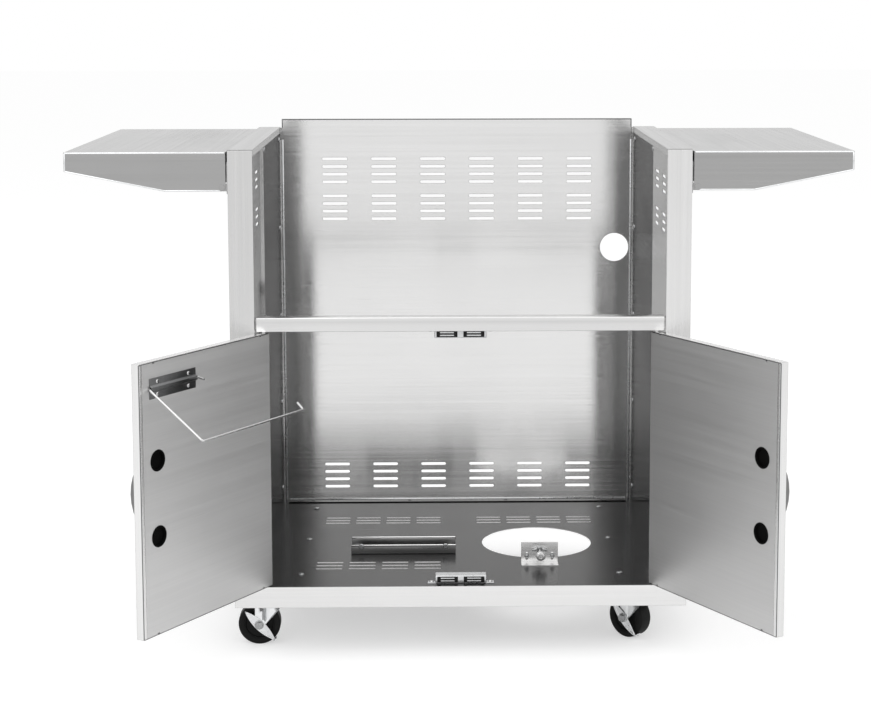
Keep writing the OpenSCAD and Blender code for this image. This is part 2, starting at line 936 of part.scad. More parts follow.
module clamp_bracket() {
    color("silver")
        framed()
            translate([clamp_x, clamp_y, 0])
                difference() {
                    union() {
                        block(-clamp_w / 2, clamp_w / 2, 0, clamp_t, floor_z, floor_z + clamp_h);
                        block(-clamp_w / 2, clamp_w / 2, -clamp_foot_d, clamp_t, floor_z,
                            floor_z + clamp_t);
                    }
                    for (side = [-1, 1])
                        translate([side * clamp_slot_x, 0, clamp_slot_z])
                            rotate([0, 90, 0])
                                slot_back(clamp_slot_h, clamp_slot_w, clamp_t);
                    translate([0, clamp_t + over, clamp_axis_z])
                        rotate([90, 0, 0])
                            cylinder(r = clamp_r + screw_gap, h = clamp_t + 2 * over);
                }
}

// Wing nut on the bracket, and the two slot bolts with the nut strip behind it
module clamp_hardware() {
    color("whitesmoke")
        framed()
            translate([clamp_x, clamp_y, 0]) {
                translate([0, 0, clamp_axis_z])
                    wing_nut();
                difference() {
                    block(-clamp_slot_x - 7, clamp_slot_x + 7, clamp_t, 2 * clamp_t,
                        clamp_slot_z - 5, clamp_slot_z + 5);
                    slot_bolts(screw_gap);
                }
                slot_bolts(0);
            }
}

module slot_bolts(gap) {
    for (side = [-1, 1])
        translate([side * clamp_slot_x, 0, clamp_slot_z])
            rotate([90, 0, 0])
                pan_screw(small_head_r, small_head_h, screw_r + gap, screw_l);
}

module wing_nut() {
    rotate([90, 0, 0])
        difference() {
            union() {
                cylinder(r = nut_r, h = nut_h);
                for (side = [-1, 1])
                    rotate([0, 0, side * -65])
                        block(-wing_t / 2, wing_t / 2, 0, wing_l, 0, wing_h);
            }
            translate([0, 0, -over])
                cylinder(r = clamp_r + run_gap, h = nut_h + wing_h + 2 * over);
        }
}

// Screw with its knob in front and a turned tip in the pad's socket
module clamp_screw() {
    tip_y = pad_y + pad_socket - face_gap;
    color("lightgray")
        framed()
            translate([clamp_x, clamp_y, clamp_axis_z])
                rotate([90, 0, 0]) {
                    translate([0, 0, clamp_reach - knob_t])
                        cylinder(d = knob_d, h = knob_t);
                    translate([0, 0, clamp_y - pad_y + face_gap])
                        cylinder(r = clamp_r, h = clamp_reach - (clamp_y - pad_y + face_gap) - 1);
                    translate([0, 0, clamp_y - tip_y])
                        cylinder(r = tip_r, h = tip_y - pad_y + 2);
                }
}

module clamp_pad() {
    color("dimgray")
        framed()
            translate([clamp_x, pad_y, clamp_axis_z])
                rotate([-90, 0, 0])
                    difference() {
                        cylinder(r = pad_r, h = pad_t);
                        translate([0, 0, -over])
                            cylinder(r = tip_r + run_gap, h = pad_socket + over);
                    }
}

// Shelves

// Side view of a shelf skirt, round about the pivot at its lower inner corner
module skirt_shape() {
    polygon([
        [shelf_in_x, shelf_top_z], [shelf_out_x, shelf_top_z],
        [shelf_out_x, shelf_top_z - shelf_h_out], [half_w + shelf_flat, shelf_low_z],
        [shelf_px, shelf_low_z], [shelf_px, shelf_pz], [shelf_in_x, shelf_pz]
    ]);
    translate([shelf_px, shelf_pz])
        circle(r = shelf_pivot);
}

module shelf_top(side) {
    color("lightgray")
        on_side(side)
            difference() {
                union() {
                    block(shelf_in_x, shelf_out_x, 0, cart_d, shelf_top_z - sheet_t, shelf_top_z);
                    block(shelf_in_x, shelf_in_x + sheet_t, 0, cart_d, shelf_top_z - shelf_lip,
                        shelf_top_z);
                    block(shelf_out_x - sheet_t, shelf_out_x, 0, cart_d,
                        shelf_top_z - shelf_h_out, shelf_top_z);
                    front_and_back()
                        translate([0, sheet_t, 0])
                            rotate([90, 0, 0])
                                linear_extrude(sheet_t)
                                    skirt_shape();
                }
                front_and_back()
                    translate([shelf_px, sheet_t + over, shelf_pz])
                        rotate([90, 0, 0])
                            cylinder(r = shelf_pin_r + run_gap, h = sheet_t + 2 * over);
            }
}

module left_shelf_top() {
    shelf_top(-1);
}

module right_shelf_top() {
    shelf_top(1);
}

module shelf_pins(side) {
    inner_end = sheet_t + ear_gap + ear_t + face_gap;
    color("dimgray")
        on_side(side)
            front_and_back()
                translate([shelf_px, 0, shelf_pz])
                    rotate([-90, 0, 0]) {
                        translate([0, 0, -shelf_pin_head_t])
                            cylinder(r = shelf_pin_head_r, h = shelf_pin_head_t);
                        cylinder(r = shelf_pin_r, h = inner_end + 1);
                        translate([0, 0, inner_end])
                            cylinder(r = shelf_pin_head_r, h = 1.6);
                    }
}

module left_shelf_pins() {
    shelf_pins(-1);
}

module right_shelf_pins() {
    shelf_pins(1);
}

// Riveted brackets on the outer wall, each with an ear inside a shelf skirt
module shelf_brackets(side) {
    ear_y = sheet_t + ear_gap;
    color("dimgray")
        on_side(side)
            front_and_back()
                difference() {
                    union() {
                        block(half_w, half_w + bracket_plate_t, ear_y, ear_y + shelf_bracket_w,
                            shelf_pz - shelf_bracket_down, shelf_pz + shelf_bracket_up);
                        block(half_w, shelf_px, ear_y, ear_y + ear_t,
                            shelf_pz - shelf_pivot, shelf_pz + shelf_pivot);
                        translate([shelf_px, ear_y + ear_t, shelf_pz])
                            rotate([90, 0, 0])
                                cylinder(r = shelf_pivot, h = ear_t);
                        for (z = [8, shelf_bracket_up - 10])
                            translate([half_w + bracket_plate_t, ear_y + shelf_bracket_w * 0.6,
                                shelf_pz + z])
                                rotate([0, 90, 0])
                                    cylinder(r = rivet_head_r, h = rivet_head_h);
                    }
                    translate([shelf_px, ear_y + ear_t + over, shelf_pz])
                        rotate([90, 0, 0])
                            cylinder(r = shelf_pin_r + run_gap, h = ear_t + 2 * over);
                }
}

module left_shelf_brackets() {
    shelf_brackets(-1);
}

module right_shelf_brackets() {
    shelf_brackets(1);
}

// Doors, drawn closed on the right

module door_skin(side) {
    inner_y = door_in - sheet_t;
    color("gainsboro")
        on_door(side)
            difference() {
                union() {
                    difference() {
                        block(door_free, door_edge, door_set, door_in, door_low, door_high);
                        block(door_free + sheet_t, door_edge - sheet_t, door_set + sheet_t,
                            door_in + over, door_low + sheet_t, door_high - sheet_t);
                    }
                    block(door_free, door_free + door_return, inner_y, door_in, door_low,
                        door_high);
                    for (z = [door_low, door_high - pivot_boss_l])
                        translate([pivot_x, pivot_y, z])
                            cylinder(r = pivot_boss_r, h = pivot_boss_l);
                }
                for (z = [door_low - over, door_high - pivot_boss_l - over])
                    translate([pivot_x, pivot_y, z])
                        cylinder(r = pivot_d / 2 + run_gap, h = pivot_boss_l + 2 * over);
                for (end = [-1, 1])
                    translate([access_x, door_set - over, door_mid + end * handle_pitch / 2])
                        rotate([-90, 0, 0])
                            cylinder(r = handle_screw_r + screw_gap, h = sheet_t + 2 * over);
            }
}

module door_liner(side) {
    inner_y = door_in - sheet_t;
    side_gap = 0.4;
    liner_free = door_free + door_return + side_gap;
    liner_edge = door_edge - sheet_t - side_gap;
    low = door_low + sheet_t + side_gap;
    high = door_high - sheet_t - side_gap;
    color("silver")
        on_door(side)
            difference() {
                union() {
                    block(liner_free, liner_edge, inner_y, door_in, low, high);
                    for (z = [low, high - sheet_t])
                        block(liner_free, liner_edge - 2 * pivot_boss_r - pivot_edge,
                            door_set + sheet_t, door_in, z, z + sheet_t);
                }
                for (end = [-1, 1])
                    translate([access_x, inner_y - over, door_mid + end * handle_pitch / 2])
                        rotate([-90, 0, 0])
                            cylinder(d = access_d, h = sheet_t + 2 * over);
                for (x = [liner_free + corner_notch, liner_edge - corner_notch],
                    z = [low, high - notch_d])
                    block(x, x + notch_w, inner_y - over, door_in + over, z - over,
                        z + notch_d + over);
                if (side < 0)
                    rivet_places()
                        translate([0, inner_y - over, 0])
                            rotate([-90, 0, 0])
                                cylinder(r = rivet_r + screw_gap, h = sheet_t + 2 * over);
            }
}

// Bow handle: two feet on the skin, and a bar bent to one arc between them
module door_handle(side) {
    bend_y = door_set - handle_rise + handle_bend;
    color("dimgray")
        on_door(side)
            difference() {
                union() {
                    for (end = [-1, 1])
                        translate([access_x, door_set, door_mid + end * handle_pitch / 2])
                            rotate([90, 0, 0]) {
                                cylinder(r = handle_foot_r, h = handle_foot_h);
                                translate([0, 0, handle_foot_h])
                                    sphere(r = handle_foot_r);
                            }
                    translate([access_x, bend_y, door_mid])
                        rotate([0, 90, 0])
                            rotate([0, 0, -90 - handle_half_angle])
                                rotate_extrude(angle = 2 * handle_half_angle)
                                    translate([handle_bend, 0])
                                        circle(r = handle_r);
                }
                for (end = [-1, 1])
                    translate([access_x, door_set + over, door_mid + end * handle_pitch / 2])
                        rotate([90, 0, 0])
                            cylinder(r = handle_screw_r + screw_gap,
                                h = handle_screw_l + over);
            }
}

module handle_screws(side) {
    color("silver")
        on_door(side)
            for (end = [-1, 1])
                translate([access_x, door_set + sheet_t, door_mid + end * handle_pitch / 2])
                    rotate([-90, 0, 0])
                        pan_screw(small_head_r, small_head_h, handle_screw_r,
                            handle_screw_l);
}

module hole_plugs(side) {
    color("black")
        on_door(side)
            for (end = [-1, 1])
                translate([access_x, door_in, door_mid + end * handle_pitch / 2])
                    rotate([-90, 0, 0]) {
                        cylinder(d = access_d + 2 * plug_rim, h = plug_rim_t);
                        translate([0, 0, -plug_body])
                            cylinder(d = access_d - 2 * screw_gap, h = plug_body);
                    }
}

module left_door_skin() {
    door_skin(-1);
}

module left_door_liner() {
    door_liner(-1);
}

module left_door_handle() {
    door_handle(-1);
}

module left_handle_screws() {
    handle_screws(-1);
}

module left_hole_plugs() {
    hole_plugs(-1);
}

module right_door_skin() {
    door_skin(1);
}

module right_door_liner() {
    door_liner(1);
}

module right_door_handle() {
    door_handle(1);
}

module right_handle_screws() {
    handle_screws(1);
}

module right_hole_plugs() {
    hole_plugs(1);
}

// Towel holder on the left door

module rivet_places() {
    for (a = [-1, 1], b = [-1, 1])
        translate([bracket_x + a * rivet_dx, 0, bracket_mid_z + b * rivet_dz])
            children();
}

// Hat section of the bracket, seen from its end: the wire runs in the tunnel
module bracket_shape() {
    h = bracket_h / 2;
    w = tunnel_half;
    rise = 2 * tunnel_half;
    t = bracket_t;
    polygon([
        [0, h], [0, w], [rise, w], [rise, -w], [0, -w], [0, -h],
        [t, -h], [t, -w - t], [rise + t, -w - t], [rise + t, w + t], [t, w + t], [t, h]
    ]);
}

module towel_bracket() {
    color("gray")
        on_door(-1)
            difference() {
                translate([bracket_x - bracket_l / 2, door_in, bracket_mid_z])
                    rotate([90, 0, 90])
                        linear_extrude(bracket_l)
                            bracket_shape();
                rivet_places()
                    translate([0, door_in - over, 0])
                        rotate([-90, 0, 0])
                            cylinder(r = rivet_r + screw_gap, h = bracket_t + 2 * over);
            }
}

module towel_rivets() {
    color("whitesmoke")
        on_door(-1)
            rivet_places()
                translate([0, door_in + bracket_t, 0])
                    rotate([-90, 0, 0])
                        pan_screw(rivet_head_r, rivet_head_h, rivet_r,
                            bracket_t + sheet_t + 2);
}

// One straight stretch of wire that starts at a knee
module wire_run(l) {
    sphere(r = wire_r + wire_knee);
    cylinder(r = wire_r, h = l);
}

// Wire: a stub, the run through the bracket, the arm, the bar and its hook
module towel_wire() {
    color("silver")
        on_door(-1)
            translate([0, wire_y, bracket_mid_z]) {
                translate([wire_free_x, 0, 0])
                    rotate([0, 90, 0])
                        cylinder(r = wire_r, h = wire_stub_x - wire_free_x);
                translate([wire_stub_x, 0, 0])
                    rotate([-98, 0, 0])
                        wire_run(wire_stub);
                translate([wire_free_x, 0, 0])
                    rotate([-wire_angle - 90, 0, 0]) {
                        wire_run(wire_arm);
                        translate([0, 0, wire_arm])
                            rotate([0, 90, 0])
                                wire_run(wire_bar);
                        translate([wire_bar, 0, wire_arm])
                            rotate([wire_angle + 90 + wire_lean, 0, 0])
                                wire_run(wire_hook);
                    }
            }
}

// Casters: the swivel axis is at x = y = 0, the wheel trails towards -X

module bolt_places() {
    for (a = [-1, 1], b = [-1, 1])
        translate([a * bolt_dx, b * bolt_dy, 0])
            children();
}

// Draws a piece of one caster: side -1 left or 1 right, end 0 front or 1 rear
module at_caster(side, end, turn) {
    framed()
        translate([side * caster_x, end == 0 ? caster_in_y : cart_d - caster_in_y, 0])
            rotate([0, 0, turn])
                children();
}

module caster_plates() {
    color("lightgray")
        for (side = [-1, 1], end = [0, 1])
            at_caster(side, end, 0) {
                difference() {
                    block(-plate_w / 2, plate_w / 2, -plate_l / 2, plate_l / 2,
                        caster_h - plate_t, caster_h);
                    translate([0, 0, caster_h - plate_t - over])
                        bolt_places()
                            cylinder(r = bolt_r + screw_gap, h = plate_t + 2 * over);
                }
                translate([0, 0, caster_h - plate_t - race_h])
                    cylinder(r = race_r, h = race_h);
                translate([0, 0, crown_z - face_gap - 1])
                    cylinder(r = kingpin_r, h = caster_h - crown_z);
                translate([0, 0, crown_z - face_gap - kingpin_head_h])
                    cylinder(r = kingpin_head_r, h = kingpin_head_h);
            }
}

module caster_bolts() {
    color("whitesmoke")
        for (side = [-1, 1], end = [0, 1])
            at_caster(side, end, 0)
                bolt_places() {
                    translate([0, 0, caster_h - plate_t - bolt_head_h])
                        cylinder(r = bolt_head_r, h = bolt_head_h, $fn = 6);
                    translate([0, 0, caster_h - plate_t - 1])
                        cylinder(r = bolt_r, h = plate_t + base_t + bolt_nut_h + 3);
                    translate([0, 0, caster_h + base_t])
                        cylinder(r = bolt_head_r, h = bolt_nut_h, $fn = 6);
                }
}

// Outline of a fork leg, from the crown down to the axle
module leg_shape() {
    difference() {
        union() {
            polygon([
                [-trail - leg_back, crown_z + 1], [leg_front, crown_z + 1],
                [-trail + leg_boss_r * 0.85, wheel_r - 4], [-trail - leg_back, wheel_r - 4]
            ]);
            translate([-trail, wheel_r])
                circle(r = leg_boss_r);
        }
        translate([-trail, wheel_r])
            circle(r = axle_r + run_gap);
    }
}

module caster_fork() {
    color("lightgray")
        difference() {
            union() {
                translate([0, 0, crown_z])
                    cylinder(r = cup_r + 2, h = crown_t);
                block(-trail - leg_back, leg_front, -leg_out, leg_out, crown_z, crown_top);
                translate([0, 0, crown_top - 1])
                    cylinder(r = cup_r, h = cup_h + 1);
                for (y = [-leg_gap, leg_out])
                    translate([0, y, 0])
                        rotate([90, 0, 0])
                            linear_extrude(leg_t)
                                leg_shape();
            }
            translate([0, 0, crown_z - over])
                cylinder(r = kingpin_r + run_gap, h = crown_t + cup_h + 2 * over);
        }
}

module caster_axle(braked) {
    start = braked ? -axle_in : leg_out;
    color("whitesmoke")
        translate([-trail, 0, wheel_r])
            rotate([90, 0, 0]) {
                translate([0, 0, -leg_out - axle_head_h])
                    cylinder(r = axle_head_r, h = axle_head_h, $fn = 6);
                translate([0, 0, -leg_out - 1])
                    cylinder(r = axle_r, h = leg_out + start + 2);
                translate([0, 0, start])
                    cylinder(r = axle_head_r, h = axle_head_h, $fn = 6);
            }
}

// Wheel section: a hub against the fork, a recessed web and a rounded tyre
module wheel_shape() {
    w = wheel_w / 2;
    hub = leg_gap - face_gap;
    bore = axle_r + run_gap;
    shoulder = 4;
    polygon([
        [bore, -hub], [10, -hub], [12, -w + 4], [wheel_r - 14, -w + 4],
        [wheel_r - 11, -w], [wheel_r - shoulder, -w], [wheel_r, -w + shoulder],
        [wheel_r, w - shoulder], [wheel_r - shoulder, w], [wheel_r - 11, w],
        [wheel_r - 14, w - 4], [12, w - 4], [10, hub], [bore, hub]
    ]);
    for (side = [-1, 1])
        translate([wheel_r - shoulder, side * (w - shoulder)])
            circle(r = shoulder);
}

module caster_wheel() {
    color("black")
        translate([-trail, 0, wheel_r])
            rotate([90, 0, 0])
                rotate_extrude($fn = 96)
                    wheel_shape();
}

// Brake lever beside the fork: it turns on the axle, with a pedal over the tread
module brake_shape() {
    difference() {
        union() {
            circle(r = brake_r);
            polygon([
                [-brake_high, -1.5], [0, -brake_r], [brake_low, -4], [brake_low, 4],
                [0, brake_r], [-brake_high, 1.5]
            ]);
        }
        circle(r = axle_r + run_gap);
    }
}

module caster_brake() {
    color("gainsboro")
        translate([-trail, brake_y + brake_t, wheel_r])
            rotate([90, 0, 0])
                rotate([0, 0, brake_angle]) {
                    linear_extrude(brake_t)
                        brake_shape();
                    block(brake_low - 0.2, brake_low + 1.6, -4, 4, -pedal_w, brake_t);
                }
}

module front_left_fork() {
    at_caster(-1, 0, turn_fl)
        caster_fork();
}

module front_right_fork() {
    at_caster(1, 0, turn_fr)
        caster_fork();
}

module rear_left_fork() {
    at_caster(-1, 1, turn_rl)
        caster_fork();
}

module rear_right_fork() {
    at_caster(1, 1, turn_rr)
        caster_fork();
}

module front_left_axle() {
    at_caster(-1, 0, turn_fl)
        caster_axle(true);
}

module front_right_axle() {
    at_caster(1, 0, turn_fr)
        caster_axle(true);
}

module rear_left_axle() {
    at_caster(-1, 1, turn_rl)
        caster_axle(false);
}

module rear_right_axle() {
    at_caster(1, 1, turn_rr)
        caster_axle(false);
}

module front_left_wheel() {
    at_caster(-1, 0, turn_fl)
        caster_wheel();
}

module front_right_wheel() {
    at_caster(1, 0, turn_fr)
        caster_wheel();
}

module rear_left_wheel() {
    at_caster(-1, 1, turn_rl)
        caster_wheel();
}

module rear_right_wheel() {
    at_caster(1, 1, turn_rr)
        caster_wheel();
}

module front_left_brake() {
    at_caster(-1, 0, turn_fl)
        caster_brake();
}

module front_right_brake() {
    at_caster(1, 0, turn_fr)
        caster_brake();
}

base_tray();
caster_channels();
left_side_skin();
right_side_skin();
left_vent_liner();
right_vent_liner();
left_inner_panel();
right_inner_panel();
left_top_cap();
right_top_cap();
back_panel();
front_rail();
top_catch_case();
bottom_catch_case();
catch_magnets();
catch_pole_bars();
catch_screws();
bin_rail();
floor_screws();
clamp_bracket();
clamp_hardware();
wall_screws();
caster_plates();
caster_bolts();
door_pivot_pins();
left_shelf_brackets();
right_shelf_brackets();
left_shelf_top();
left_shelf_pins();
right_shelf_top();
right_shelf_pins();
left_door_skin();
left_door_liner();
left_door_handle();
left_handle_screws();
left_hole_plugs();
towel_bracket();
towel_rivets();
towel_wire();
right_door_skin();
right_door_liner();
right_door_handle();
right_handle_screws();
right_hole_plugs();
front_left_fork();
front_right_fork();
rear_left_fork();
rear_right_fork();
front_left_axle();
front_right_axle();
rear_left_axle();
rear_right_axle();
front_left_wheel();
front_right_wheel();
rear_left_wheel();
rear_right_wheel();
front_left_brake();
front_right_brake();
clamp_pad();
clamp_screw();
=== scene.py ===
"""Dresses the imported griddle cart: materials, small fittings, thin edges and studio."""
import json
import logging
import math
from collections.abc import Callable, Iterable, Iterator
from contextlib import contextmanager
from dataclasses import dataclass, field
from enum import Enum

import bmesh
import bpy
from mathutils import Matrix, Vector


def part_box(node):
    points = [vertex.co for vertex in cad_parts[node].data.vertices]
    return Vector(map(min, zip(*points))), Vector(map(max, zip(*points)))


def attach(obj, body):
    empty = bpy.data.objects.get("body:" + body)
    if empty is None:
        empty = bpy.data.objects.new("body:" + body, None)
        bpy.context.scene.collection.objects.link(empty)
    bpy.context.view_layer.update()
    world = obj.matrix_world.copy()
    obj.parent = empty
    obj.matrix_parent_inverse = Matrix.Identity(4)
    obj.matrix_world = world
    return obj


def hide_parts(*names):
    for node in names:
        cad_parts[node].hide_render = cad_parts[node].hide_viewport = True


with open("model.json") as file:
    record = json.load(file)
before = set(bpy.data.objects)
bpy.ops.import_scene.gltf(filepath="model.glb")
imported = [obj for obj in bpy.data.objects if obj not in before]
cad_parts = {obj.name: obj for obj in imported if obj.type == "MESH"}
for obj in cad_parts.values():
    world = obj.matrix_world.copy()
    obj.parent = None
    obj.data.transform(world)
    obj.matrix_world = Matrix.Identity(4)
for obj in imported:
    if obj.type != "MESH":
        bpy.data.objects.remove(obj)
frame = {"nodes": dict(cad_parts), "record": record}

LOG = logging.getLogger("griddle_cart")
SIDES = (-1, 1)
UP = Vector((0, 0, 1))
Piece = bpy.types.Object


class Grain(Enum):
    """Direction in which a sheet was brushed."""

    ALONG_X = (1.0, 0.0, 0.0)
    ALONG_Y = (0.0, 1.0, 0.0)
    ALONG_Z = (0.0, 0.0, 1.0)


class Handed(Enum):
    """The two sides of the cart, as seen from the front."""

    LEFT = -1
    RIGHT = 1

    @property
    def word(self) -> str:
        """The side's name as the nodes use it."""
        return self.name.lower()


class Socket:
    """A shader value on which Python arithmetic adds Math nodes."""

    def __init__(self, graph: "Graph", link: bpy.types.NodeSocket) -> None:
        """Wraps an output of one of a graph's nodes."""
        self.graph = graph
        self.link = link

    def _math(self, operation: str, other: object) -> "Socket":
        """Adds one Math node over this value and another."""
        return self.graph.add("Math", {"operation": operation}, {0: self, 1: other})

    def __add__(self, other: object) -> "Socket":
        """Adds another value."""
        return self._math("ADD", other)

    def __sub__(self, other: object) -> "Socket":
        """Takes another value away."""
        return self._math("SUBTRACT", other)

    def __mul__(self, other: object) -> "Socket":
        """Multiplies by another value."""
        return self._math("MULTIPLY", other)

    __radd__ = __add__
    __rmul__ = __mul__

    def clamp(self) -> "Socket":
        """Keeps the value between 0 and 1."""
        return self.graph.add("Clamp", {}, {"Value": self})


class Graph:
    """The node tree of a material or world, built up from code."""

    def __init__(self, owner: bpy.types.ID, kind: str = "Material") -> None:
        """Starts an empty tree with an output node for a kind of owner."""
        self.owner = owner
        owner.use_nodes = True
        self.tree = owner.node_tree
        self.tree.nodes.clear()
        self.output = self.tree.nodes.new("ShaderNodeOutput" + kind)

    def add(self, kind: str, settings: dict | None = None, inputs: dict | None = None,
            out: int | str = 0) -> Socket:
        """Adds a node.

        Args:
            kind: The node's type name, after ShaderNode.
            settings: Attributes of the node, set before its sockets.
            inputs: Values or links, by socket name or number.
            out: Which output to return.

        Returns:
            The chosen output.
        """
        node = self.tree.nodes.new("ShaderNode" + kind)
        for key, value in (settings or {}).items():
            setattr(node, key, value)
        for key, value in (inputs or {}).items():
            if isinstance(value, Socket):
                self.tree.links.new(value.link, node.inputs[key])
            else:
                node.inputs[key].default_value = value
        return Socket(self, node.outputs[out])

    def vector(self, operation: str, first: object, second: object,
               out: str = "Vector") -> Socket:
        """Adds one Vector Math node over two values."""
        key = "Scale" if operation == "SCALE" else 1
        return self.add("VectorMath", {"operation": operation},
                        {0: first, key: second}, out)

    def place(self, scale: tuple[float, float, float] = (1.0, 1.0, 1.0),
              centre: tuple[float, float, float] = (0.0, 0.0, 0.0),
              turn: float = 0.0) -> Socket:
        """Object coordinates about a centre, turned about Z and then scaled."""
        moved = self.vector("SUBTRACT", self.add("TexCoord", out="Object"), centre)
        turned = self.add("Mapping", {}, {"Vector": moved, "Rotation": (0, 0, turn)})
        return self.vector("MULTIPLY", turned, scale)

    def noise(self, vector: Socket, scale: float, detail: float = 2.0,
              roughness: float = 0.5) -> Socket:
        """A noise value between about 0.2 and 0.8."""
        return self.add("TexNoise", {}, {"Vector": vector, "Scale": scale,
                                         "Detail": detail, "Roughness": roughness})

    def stretch(self, value: Socket, low: float, high: float) -> Socket:
        """Maps a range of a value onto 0 to 1 and clamps it."""
        return self.add("MapRange", {},
                        {"Value": value, "From Min": low, "From Max": high})

    def mix(self, factor: object, first: object, second: object) -> Socket:
        """Mixes two colours."""
        return self.add("Mix", {"data_type": "RGBA"},
                        {0: factor, 6: first, 7: second}, out=2)

    def rays(self, kind: str) -> Socket:
        """Whether a ray is of a kind, such as Camera or Glossy."""
        return self.add("LightPath", out=f"Is {kind} Ray")

    def surface(self, inputs: dict) -> bpy.types.Material:
        """Ends a material with a Principled shader."""
        return self.end(self.add("BsdfPrincipled", {}, inputs))

    def end(self, shader: Socket) -> bpy.types.ID:
        """Links the last shader to the output and returns the material or world."""
        self.tree.links.new(shader.link, self.output.inputs["Surface"])
        return self.owner


def colour(grey: float, warm: float = 0.0) -> tuple[float, float, float, float]:
    """A neutral colour, with red raised and blue lowered by a share."""
    return (grey * (1 + warm), grey, grey * (1 - warm), 1.0)


@dataclass(frozen=True)
class Layer:
    """A layer of the brushing: scales along and across, noise, and the range that counts."""

    along: float
    across: float
    shift: float = 0.0
    detail: float = 2.0
    roughness: float = 0.5
    low: float = 0.3
    high: float = 0.7


LINES = Layer(4.0, 1300.0, roughness=0.6, low=0.25, high=0.75)
STREAKS = Layer(1.2, 210.0, 0.4)
SMEAR = Layer(1.6, 7.0, 0.8, 3.0, 0.6, 0.5, 0.75)
SCRATCHES = Layer(9.0, 800.0, 1.2, 1.0, low=0.74, high=0.8)


@dataclass(frozen=True)
class BrushedSteel:
    """Stainless sheet with fine parallel brushing, faint clouds and wiped smears, and painted
    light: own greys for faces that look up or forward, and painted highlights or shade along
    edges.
    """

    name: str
    grey: float
    roughness: float = 0.2
    grain: Grain = Grain.ALONG_X
    ends: Grain = Grain.ALONG_Z
    # Painted light: own greys for faces that look up or forward, set for how such faces are lit,
    # shaded or what they reflect.
    up_grey: float | None = None
    front_grey: float | None = None
    turn: float = 0.0
    depth: float = 0.000012
    clouds: float = 0.05
    smears: float = 0.05
    edge: float = 0.0008
    metallic: float = 1.0
    rim: float = 1.0
    # Painted edge light: a positive share paints a highlight along the edges, a negative one
    # paints shade.
    fold: float = 0.0
    pull: float = 0.0
    pull_turn: float = 0.0
    warm: float = 0.003

    def brushed(self, graph: Graph, mask: Socket, layer: Layer) -> Socket:
        """A layer of the brushing, along the grain whichever way a face looks.

        Args:
            graph: The material's graph.
            mask: Whether a face looks along the main grain.
            layer: The layer, whose shift moves it so that layers differ.

        Returns:
            The layer's strength.
        """
        spot = (layer.shift, layer.shift * 0.7, layer.shift * 1.3)
        first, second = (tuple(layer.along if part else layer.across for part in grain.value)
                         for grain in (self.grain, self.ends))
        coords = graph.add("Mix", {"data_type": "VECTOR"},
                           {0: mask, 4: graph.place(first, spot, self.turn),
                            5: graph.place(second, spot, self.turn)}, out=1)
        noise = graph.noise(coords, 1.0, layer.detail, layer.roughness)
        return graph.stretch(noise, layer.low, layer.high)

    @staticmethod
    def facing(graph: Graph, way: Vector, least: float) -> Socket:
        """Whether a face looks along a direction, either way."""
        normal = graph.add("NewGeometry", out="True Normal")
        share = graph.vector("DOT_PRODUCT", normal, tuple(way), "Value")
        size = graph.add("Math", {"operation": "ABSOLUTE"}, {0: share})
        return graph.add("Math", {"operation": "GREATER_THAN"}, {0: size, 1: least})

    def build(self) -> bpy.types.Material:
        """Makes the material."""
        graph = Graph(bpy.data.materials.new(self.name))
        mask = self.facing(graph, Matrix.Rotation(-self.turn, 3, "Z")
                           @ Vector(self.grain.value), 0.7)
        cloud = graph.noise(graph.place(), 3.0, 3.0, 0.55)
        lines, streaks, smear, scratches = (self.brushed(graph, mask, layer) for layer in (
            LINES, STREAKS, SMEAR, SCRATCHES))
        tone = (0.955 + 0.05 * lines + 0.035 * streaks - self.clouds
                + 2.0 * self.clouds * cloud) - 0.08 * scratches
        grey: object = colour(self.grey, self.warm)
        # Faces that look up or forward take their own grey: painted light and shade by face
        # direction.
        for way, other in (((0, 0, 1), self.up_grey), ((0, 1, 0), self.front_grey)):
            if other is not None:
                grey = graph.mix(self.facing(graph, Vector(way), 0.6), grey,
                                 colour(other, self.warm))
        edge = graph.add("Bevel", {"samples": 3}, {"Radius": self.edge})
        # Painted highlight or shade along the edges, where the Bevel normal leaves the true
        # normal.
        if self.fold:
            flat = graph.add("NewGeometry", out="True Normal")
            level = graph.vector("DOT_PRODUCT", edge, flat, "Value")
            tone = tone + self.fold * graph.stretch(level, 0.985, 0.8)
        base = graph.vector("SCALE", grey if isinstance(grey, Socket) else grey[:3], tone)
        rough = (self.roughness + 0.05 * streaks + self.smears * smear
                 + 0.06 * scratches - 0.02 * lines).clamp()
        bump = graph.add("Bump", {}, {"Height": lines + 0.4 * streaks, "Normal": edge,
                                      "Distance": self.depth, "Strength": 1.0})
        return graph.surface({
            "Metallic": self.metallic, "Anisotropic": self.pull,
            "Anisotropic Rotation": self.pull_turn,
            "Specular Tint": (self.rim, self.rim, self.rim, 1.0),
            "Base Color": base, "Roughness": rough, "Normal": bump})


@dataclass(frozen=True)
class PlatedMetal:
    """Bright plated or polished steel with a faint mottle and dull, darker spots."""

    name: str
    grey: float
    roughness: float = 0.14
    mottle: float = 0.12
    size: float = 260.0
    warm: float = -0.01

    def build(self) -> bpy.types.Material:
        """Makes the material."""
        graph = Graph(bpy.data.materials.new(self.name))
        coords = graph.place()
        grains = graph.add("TexVoronoi", {}, {"Vector": coords, "Scale": self.size},
                           out="Distance")
        cloud = graph.noise(coords, 60.0, 3.0)
        spots = graph.stretch(graph.noise(coords, 420.0, 2.0), 0.62, 0.72)
        tone = 1.0 - self.mottle + self.mottle * grains + self.mottle * cloud - 0.12 * spots
        edge = graph.add("Bevel", {"samples": 4}, {"Radius": 0.0004})
        bump = graph.add("Bump", {}, {"Height": cloud, "Distance": 0.00015,
                                      "Strength": 0.6, "Normal": edge})
        return graph.surface({
            "Metallic": 1.0,
            "Base Color": graph.vector("SCALE", colour(self.grey, self.warm)[:3], tone),
            "Roughness": (self.roughness + 0.12 * cloud + 0.15 * spots).clamp(),
            "Normal": bump})


